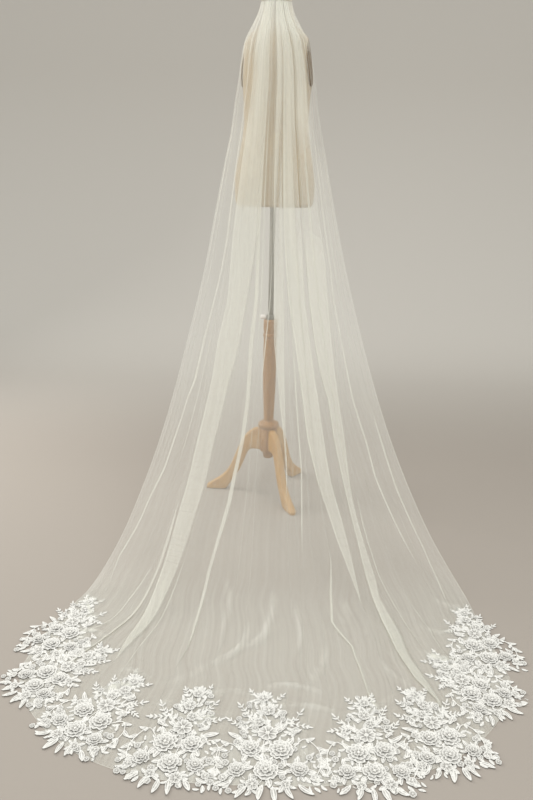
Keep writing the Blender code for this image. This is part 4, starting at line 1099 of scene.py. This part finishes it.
def petal(heap, at, angle, length, width, z, rise, cup, seed, ruffle=0.0006, notch=0.08, n=20, rim=0.0008, fine=True):
    """A broad rounded petal with a wavy, corded edge."""
    r = np.random.default_rng(seed)
    t = np.linspace(0, 2 * pi, n, endpoint=False)
    y = length * (1 - np.cos(t)) / 2
    x = width / 2 * np.sin(t) * (0.55 + 0.52 * smooth(y / length, 0.0, 0.75))
    wave = 1 + 0.045 * np.sin(5 * t + r.uniform(0, 6)) * smooth(y / length, 0.2, 0.7)
    y = (y - notch * length * np.exp(-((t - pi) / 0.30) ** 2)) * wave
    x = x * wave
    outline = turn2(np.stack([y, -x], axis=1), angle) + np.asarray(at)
    centre = turn2(np.array([length * 0.56, 0.0]), angle) + np.asarray(at)
    ph = r.uniform(0, 6)
    ca, sa = cos(angle), sin(angle)

    def height(px, py, rho, k):
        lx = (px - at[0]) * ca + (py - at[1]) * sa
        ly = -(px - at[0]) * sa + (py - at[1]) * ca
        s = np.clip(lx / length, 0, 1)
        cord = np.exp(-((rho - 0.95) / 0.09) ** 2)
        fan = 0.5 + 0.5 * np.cos(np.arctan2(ly, lx + 0.3 * length) * 15)
        z_ = z + rise * s + cup * (np.abs(ly) / (width / 2)) ** 2 + rim * cord \
            + ruffle * np.sin(2 * pi * k * 5 + ph) * rho ** 2 + 0.00022 * fan * s
        # painted shade: darker at the petal's foot, with painted highlight on the raised rim cord; the fan stripes are
        # the stitches' own pattern
        tone = np.clip(0.06 + 0.62 * cord + 0.30 * fan * s + 0.44 * s, 0, 1)
        return z_, tone
    rings = (0, .42, .74, .90, .98, 1.05) if fine else (0, .50, .84, .96, 1.07)
    heap.patch(outline, centre, height, rings=rings)


def rose(heap, at, radius, seed, z=0.0020):
    """A big round bloom: three rings of overlapping ruffled petals round a tight heart."""
    r = np.random.default_rng(seed)
    turn = r.uniform(0, 2 * pi)
    x, y = at
    for ring, (count, start, length, width, rise, lift) in enumerate((
            (6, 0.30, 0.72, 0.86, 0.0005, 0.0),
            (5, 0.14, 0.62, 0.74, 0.0012, 0.0014),
            (4, 0.02, 0.44, 0.52, 0.0020, 0.0027))):
        for k in range(count):
            a = turn + 2 * pi * (k + 0.5 * (ring % 2)) / count + r.uniform(-.12, .12)
            c = np.array([x + radius * start * cos(a), y + radius * start * sin(a)])
            petal(heap, c, a, radius * length * r.uniform(.93, 1.06), radius * width * r.uniform(.92, 1.08),
                  z + lift + 0.00025 * (k % 2), rise, 0.0009 + 0.0003 * ring, int(r.integers(1 << 30)), ruffle=0.0006)
    for k in range(7):
        a = 2 * pi * k / 6
        q = 0.0 if k == 6 else radius * 0.085
        heap.bead((x + q * cos(a), y + q * sin(a), z + 0.0040), radius * 0.055)


def blossom(heap, at, radius, seed, petals=5, z=0.0022, fine=False):
    """A flat open flower with round notched petals and a beaded eye."""
    r = np.random.default_rng(seed)
    turn = r.uniform(0, 2 * pi)
    x, y = at
    for k in range(petals):
        a = turn + 2 * pi * k / petals + r.uniform(-.08, .08)
        c = np.array([x + radius * 0.10 * cos(a), y + radius * 0.10 * sin(a)])
        petal(heap, c, a, radius * 0.90 * r.uniform(.94, 1.05), radius * 0.98 * (5 / petals), z + 0.0003 * (k % 2), 0.0006,
              0.0006, int(r.integers(1 << 30)), ruffle=0.0003, notch=0.12, n=18 if fine else 13, fine=fine, rim=0.0007)
    if radius < 0.0105:
        heap.bead((x, y, z + 0.0014), radius * 0.20)
        return
    eye = 6
    for k in range(eye + 1):
        a = 2 * pi * k / eye
        q = 0.0 if k == eye else radius * 0.15
        heap.bead((x + q * cos(a), y + q * sin(a), z + 0.0014), radius * 0.085)


def curve_points(points, n=14):
    return hermite(np.array(points, float), n)


def sprig(heap, points, leaves, length, width, seed, z=0.0022, tip=True, stem=0.0008, bud=0.0):
    """A curved stem with pairs of narrow leaflets and one at its tip."""
    r = np.random.default_rng(seed)
    line = curve_points(points, 26)
    d = np.gradient(line, axis=0)
    heap.tube(np.column_stack([line, np.full(len(line), z)]), stem, 5)
    for k in range(leaves):
        i = int(round((0.16 + 0.76 * k / max(leaves - 1, 1)) * 25))
        a = atan2(d[i, 1], d[i, 0])
        shrink = 1.0 - 0.30 * k / max(leaves, 1)
        for side in (1, -1):
            leaf(heap, line[i], a + side * r.uniform(.62, .95), length * shrink * r.uniform(.88, 1.1), width * shrink,
                 z=z - 0.0002, n=10, fine=False, vein=0.0004, rim=0.0005)
    if tip:
        a = atan2(d[-1, 1], d[-1, 0])
        leaf(heap, line[-1], a, length * 1.05, width, z=z, n=10, fine=False, vein=0.0004, rim=0.0005)
    if bud:
        blossom(heap, line[-1], bud, seed + 5, z=z + 0.0004)


def scroll(heap, points, length, width, seed, side, flower):
    """A crescent of leaves along the outside of an arc, with a flower at its end."""
    r = np.random.default_rng(seed)
    line = curve_points(points, 30)
    d = np.gradient(line, axis=0)
    heap.tube(np.column_stack([line, np.full(30, 0.0024)]), 0.0011, 6)
    for k in range(6):
        i = 3 + 5 * k if 3 + 5 * k < 30 else 29
        a = atan2(d[i, 1], d[i, 0])
        size = (0.7, 0.9, 1.05, 1.1, 1.0, 0.8)[k]
        leaf(heap, line[i], a + side * r.uniform(.5, .8), length * size, width * size, bend=0.10 * side, n=18)
        if k % 2:
            leaf(heap, line[i], a - side * r.uniform(.6, .9), length * 0.55, width * 0.6, n=10, fine=False)
    blossom(heap, line[-1], flower, seed + 9, z=0.0030, fine=True)


def filling(heap, seed, wide, tall, blooms):
    """Leaves that look out from behind each bloom, then buds and small leaves in the gaps."""
    r = np.random.default_rng(seed)

    def clear(p, share, skip=-1):
        return all(j == skip or hypot(p[0] - b[0], p[1] - b[1]) > share * b[2] for j, b in enumerate(blooms))

    def inside(p, more=0.0):
        y = p[1] / tall
        return -0.10 < y < 1.04 and abs(p[0]) < np.interp(y, ENVELOPE[:, 0], ENVELOPE[:, 1]) * wide + more

    tips = []
    for i, (x, y, rad, kind) in enumerate(blooms):
        if rad < .0100:
            continue
        count = 4 if rad < .016 else 5
        turn = r.uniform(0, 2 * pi)
        for k in range(count):
            a = turn + 2 * pi * k / count + r.uniform(-.55, .55)
            d = np.array([cos(a), sin(a)])
            ln = rad * r.uniform(.50, .80) + .0100
            start = np.array([x, y]) + d * rad * .62
            tip = start + d * ln
            if not clear(tip, .88, i) or not inside(tip, .006):
                continue
            if any((tip[0] - q[0]) ** 2 + (tip[1] - q[1]) ** 2 < .0060 ** 2 for q in tips):
                continue
            tips.append(tip)
            leaf(heap, start, a + r.uniform(-.25, .25), ln, ln * r.uniform(.42, .54), z=r.uniform(.0014, .0024),
                 rise=r.uniform(0, .0010), bend=r.uniform(-.14, .14), n=16, fine=rad > .016, vein=0.0006, rim=0.0007)
    taken = list(tips)
    for _ in range(2600):
        y = r.uniform(-.05, .98)
        half = np.interp(y, ENVELOPE[:, 0], ENVELOPE[:, 1]) * wide
        p = np.array([r.uniform(-half, half), y * tall])
        if not clear(p, 1.05):
            continue
        if any((p[0] - q[0]) ** 2 + (p[1] - q[1]) ** 2 < .0134 ** 2 for q in taken):
            continue
        taken.append(p)
        near = min(blooms, key=lambda b: hypot(p[0] - b[0], p[1] - b[1]) - b[2])
        a = atan2(p[1] - near[1], p[0] - near[0]) + r.uniform(-.7, .7)
        if r.uniform() < 0.58:
            ln = r.uniform(.0125, .0200)
            leaf(heap, p - 0.45 * ln * np.array([cos(a), sin(a)]), a, ln, ln * r.uniform(.40, .52), z=r.uniform(.0010, .0018),
                 rise=r.uniform(0, .0006), bend=r.uniform(-.14, .14), n=10, fine=False, vein=0.0005, rim=0.0006)
        elif r.uniform() < 0.75:
            blossom(heap, p, r.uniform(.0068, .0096), int(r.integers(1 << 30)), z=0.0020)
        else:
            for k in range(3):
                heap.bead((p[0] + 0.0032 * cos(a) * (k - 1), p[1] + 0.0032 * sin(a) * (k - 1), 0.0014), 0.0015)


def bouquet(heap, seed, wide, tall):
    """The plan of a spray: y runs from the hem (0) to the tip (1), x to either side.
    wide and tall stretch the places, and not the flowers."""
    r = np.random.default_rng(seed)

    def at(x, y):
        return np.array([x * wide + r.uniform(-.003, .003), y * tall + r.uniform(-.003, .003)])

    k = min(1.0, 0.60 + 0.40 * wide)
    # stems first, under everything
    spine = np.array([at(.00, .10), at(-.006, .35), at(.008, .60), at(-.004, .80), at(.002, .95)])
    heap.tube(np.column_stack([curve_points(spine, 24), np.full(24, 0.0018)]), 0.0011, 6)
    # leaves that reach past the hem and out of the sides
    for x, y, a, ln, wd in ((-.016, .00, -108, .044, .0150), (.006, -.01, -84, .040, .0135), (.030, .00, -66, .036, .0120),
                            (-.050, .01, -136, .036, .0125), (-.034, .03, -118, .026, .0095), (.062, .01, -44, .038, .0130),
                            (.086, .05, -20, .032, .0110), (-.078, .05, -158, .032, .0110), (-.100, .14, 172, .026, .0095),
                            (.104, .16, 12, .026, .0095), (-.054, .45, 146, .040, .0135), (-.040, .50, 128, .030, .0100),
                            (.048, .48, 30, .038, .0130), (.036, .54, 52, .030, .0100), (-.022, .63, 122, .034, .0110),
                            (.024, .66, 58, .032, .0105), (-.030, .33, 168, .034, .0120), (.012, .76, 72, .024, .0085),
                            (-.014, .78, 112, .024, .0085)):
        leaf(heap, at(x, y), radians(a) + r.uniform(-.16, .16), ln * k * r.uniform(.88, 1.1), wd * k * r.uniform(.9, 1.1),
             z=0.0026, rise=0.0006, bend=r.uniform(-.08, .08))
    # long feathery sprigs
    sprig(heap, [at(.020, .56), at(.046, .62), at(.066, .64), at(.084, .72)], 5, .016, .0058, seed + 11, z=.0026)
    sprig(heap, [at(.050, .60), at(.074, .58), at(.096, .56)], 4, .014, .0052, seed + 12, z=.0026)
    sprig(heap, [at(-.010, .68), at(-.034, .72), at(-.052, .82)], 5, .015, .0054, seed + 13, z=.0026)
    sprig(heap, [at(-.030, .56), at(-.058, .60), at(-.078, .66)], 4, .014, .0052, seed + 15, z=.0026)
    sprig(heap, [at(.006, .80), at(.026, .86), at(.044, .93)], 4, .013, .0050, seed + 14, z=.0026)
    sprig(heap, [at(-.004, .86), at(-.018, .93), at(-.024, 1.0)], 3, .012, .0046, seed + 16, z=.0026)
    for a in (56, 74, 90, 108, 128):
        leaf(heap, at(.001 + .0002 * (90 - a), .91), radians(a) + r.uniform(-.1, .1), .022 * r.uniform(.85, 1.15), .0068, n=14,
             z=.0028, fine=False)
    # scrolls at the two sides
    scroll(heap, [at(-.050, .32), at(-.078, .42), at(-.106, .35), at(-.108, .20), at(-.094, .08)], .024, .0105, seed + 21, -1, .0105)
    scroll(heap, [at(.060, .36), at(.088, .44), at(.112, .33), at(.110, .18), at(.094, .06)], .024, .0105, seed + 22, 1, .0110)
    # places of the blooms: x, y, radius, kind
    plan = ((.046, .72, .0085, "small"), (-.052, .62, .0085, "small"), (.066, .52, .0100, "small"), (-.090, .22, .0095, "small"),
            (.034, .01, .0120, "small"), (-.062, .42, .0105, "small"), (.092, .24, .0090, "small"), (-.030, .80, .0070, "small"),
            (.002, .89, .0135, "open"), (.010, .75, .0155, "open"), (-.010, .635, .0135, "open"), (.006, .51, .0225, "open"),
            (-.034, .02, .0145, "open"), (-.066, .16, .0190, "rose"), (.068, .14, .0185, "rose"), (-.034, .36, .0235, "rose"),
            (.030, .33, .0270, "rose"), (-.004, .14, .0255, "rose"))
    blooms = [(*at(x, y), rad * (1.0 if kind == "small" else 1.11 * k), kind) for x, y, rad, kind in plan]
    filling(heap, seed + 77, wide, tall, blooms)
    for i, (x, y, rad, kind) in enumerate(blooms):
        if kind == "small":
            blossom(heap, (x, y), rad, seed + 31 + i, fine=rad > .0095, z=0.0030)
        elif kind == "open":
            blossom(heap, (x, y), rad, seed + 31 + i, petals=6 if rad > .016 else 5, fine=True, z=0.0034)
        else:
            rose(heap, (x, y), rad, seed + 31 + i, z=0.0026 + 0.0004 * (i % 3))


def lace(node, tip_x, tip_f, base_x, base_f, width, seed, flip):
    heap = Heap()
    tip, base = np.array([tip_x, tip_f]), np.array([base_x, base_f])
    along = tip - base
    tall = float(np.linalg.norm(along))
    along = along / tall
    out = np.array([along[1], -along[0]]) * -1.0      # to the right of the spray's own way up
    bouquet(heap, seed, width / 0.240, tall)

    def place(p):
        x = p[:, 0] * flip
        q = base[None] + p[:, 1:2] * along[None] + x[:, None] * out[None]
        return world(np.column_stack([q, p[:, 2] + 0.0006]))
    obj = heap.build("spray_" + node[-1], place)
    print(obj.name, "triangles", sum(len(f.vertices) - 2 for f in obj.data.polygons))
    if flip < 0:
        obj.data.flip_normals()
    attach(obj, "root")
    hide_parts(node)
    return obj


# ------------------------------------------------------------------ build it all
cover = torso()
armhole_plate("plate_right", "armhole_plate_right", 1)
armhole_plate("plate_left", "armhole_plate_left", -1)
stand()
net = tulle()
roll = bound_edge()
hair_comb, comb_thread = comb()
sprays = [lace(*row) for row in SPRAYS]

# ------------------------------------------------------------------ floor, light and camera
stage = Nodes("studio")
at = stage.node("ShaderNodeTexCoord").outputs["Object"]
back = stage.node("ShaderNodeSeparateXYZ", {0: at}).outputs[1]
rise = stage.node("ShaderNodeMapRange", {"Value": back, "From Min": 0.9, "From Max": 3.4},
                  interpolation_type="SMOOTHSTEP").outputs[0]
tint = stage.ramp(rise, ((0.0, srgb(162, 154, 145)), (1.0, srgb(202, 197, 189))))
stage_shader = stage.node("ShaderNodeBsdfPrincipled", {"Base Color": tint, "Roughness": 0.9,
                                                       "Specular IOR Level": 0.1})
stage_mat = stage.surface(stage_shader.outputs[0])
bend = np.linspace(0, pi / 2, 24)[1:]
ys = np.concatenate([np.linspace(-6, 2.4, 12), 2.4 + 2.2 * np.sin(bend), [4.6] * 4])
zs = np.concatenate([np.zeros(12), 2.2 * (1 - np.cos(bend)), [2.8, 3.6, 4.6, 6.0]])
xs = np.linspace(-14, 14, 3)
sweep = np.stack([np.repeat(xs[None], len(ys), 0), np.repeat(ys[:, None], 3, 1), np.repeat(zs[:, None], 3, 1)], axis=-1)
backdrop = mesh_object("studio_floor", sweep.reshape(-1, 3), grid_faces(len(ys), 3)[:, ::-1], stage_mat)

world_data = bpy.data.worlds.new("soft_sky")
bpy.context.scene.world = world_data
world_data.use_nodes = True
bg = world_data.node_tree.nodes["Background"]
bg.inputs[0].default_value = (0.985, 1.0, 0.99, 1)
bg.inputs[1].default_value = 0.86


def area(name, loc, target, size, power, colour=(1, 1, 1)):
    data = bpy.data.lights.new(name, "AREA")
    data.shape = "RECTANGLE"
    data.size, data.size_y = size
    data.energy = power
    data.color = colour
    obj = bpy.data.objects.new(name, data)
    obj.location = loc
    obj.rotation_euler = (Vector(target) - Vector(loc)).to_track_quat("-Z", "Y").to_euler()
    bpy.context.scene.collection.objects.link(obj)
    return obj


area("low_window", (-2.3, 0.9, 1.7), (0.0, -0.5, 0.1), (1.5, 1.5), 40, (1.0, 1.0, 0.99))
area("soft_top", (0.3, -1.0, 3.6), (0, -0.3, 0.2), (2.4, 2.4), 44, (1.0, 1.0, 0.985))
area("front_fill", (1.6, -3.2, 2.0), (0, 0.2, 0.8), (1.6, 1.6), 22, (1.0, 0.995, 0.98))

FOCAL, PITCH, HEIGHT, BACK, ROLL, SIDE = 700.0, radians(17.07), 1.25, 2.755, radians(1.1), -0.0102
cam_data = bpy.data.cameras.new("camera")
cam_data.sensor_width = 36.0
cam_data.sensor_fit = "AUTO"
cam_data.lens = FOCAL / 800 * 36.0
camera = bpy.data.objects.new("camera", cam_data)
camera.matrix_world = (Matrix.Translation((STAND_X + SIDE, STAND_Y - BACK, HEIGHT))
                       @ Matrix.Rotation(pi / 2 - PITCH, 4, "X") @ Matrix.Rotation(ROLL, 4, "Z"))
bpy.context.scene.collection.objects.link(camera)
bpy.context.scene.camera = camera
scene = bpy.context.scene
scene.view_settings.view_transform = "Standard"
scene.view_settings.look = "None"
scene.cycles.transparent_max_bounces = 48
scene.cycles.max_bounces = 10
scene.cycles.diffuse_bounces = 4
scene.cycles.transmission_bounces = 8
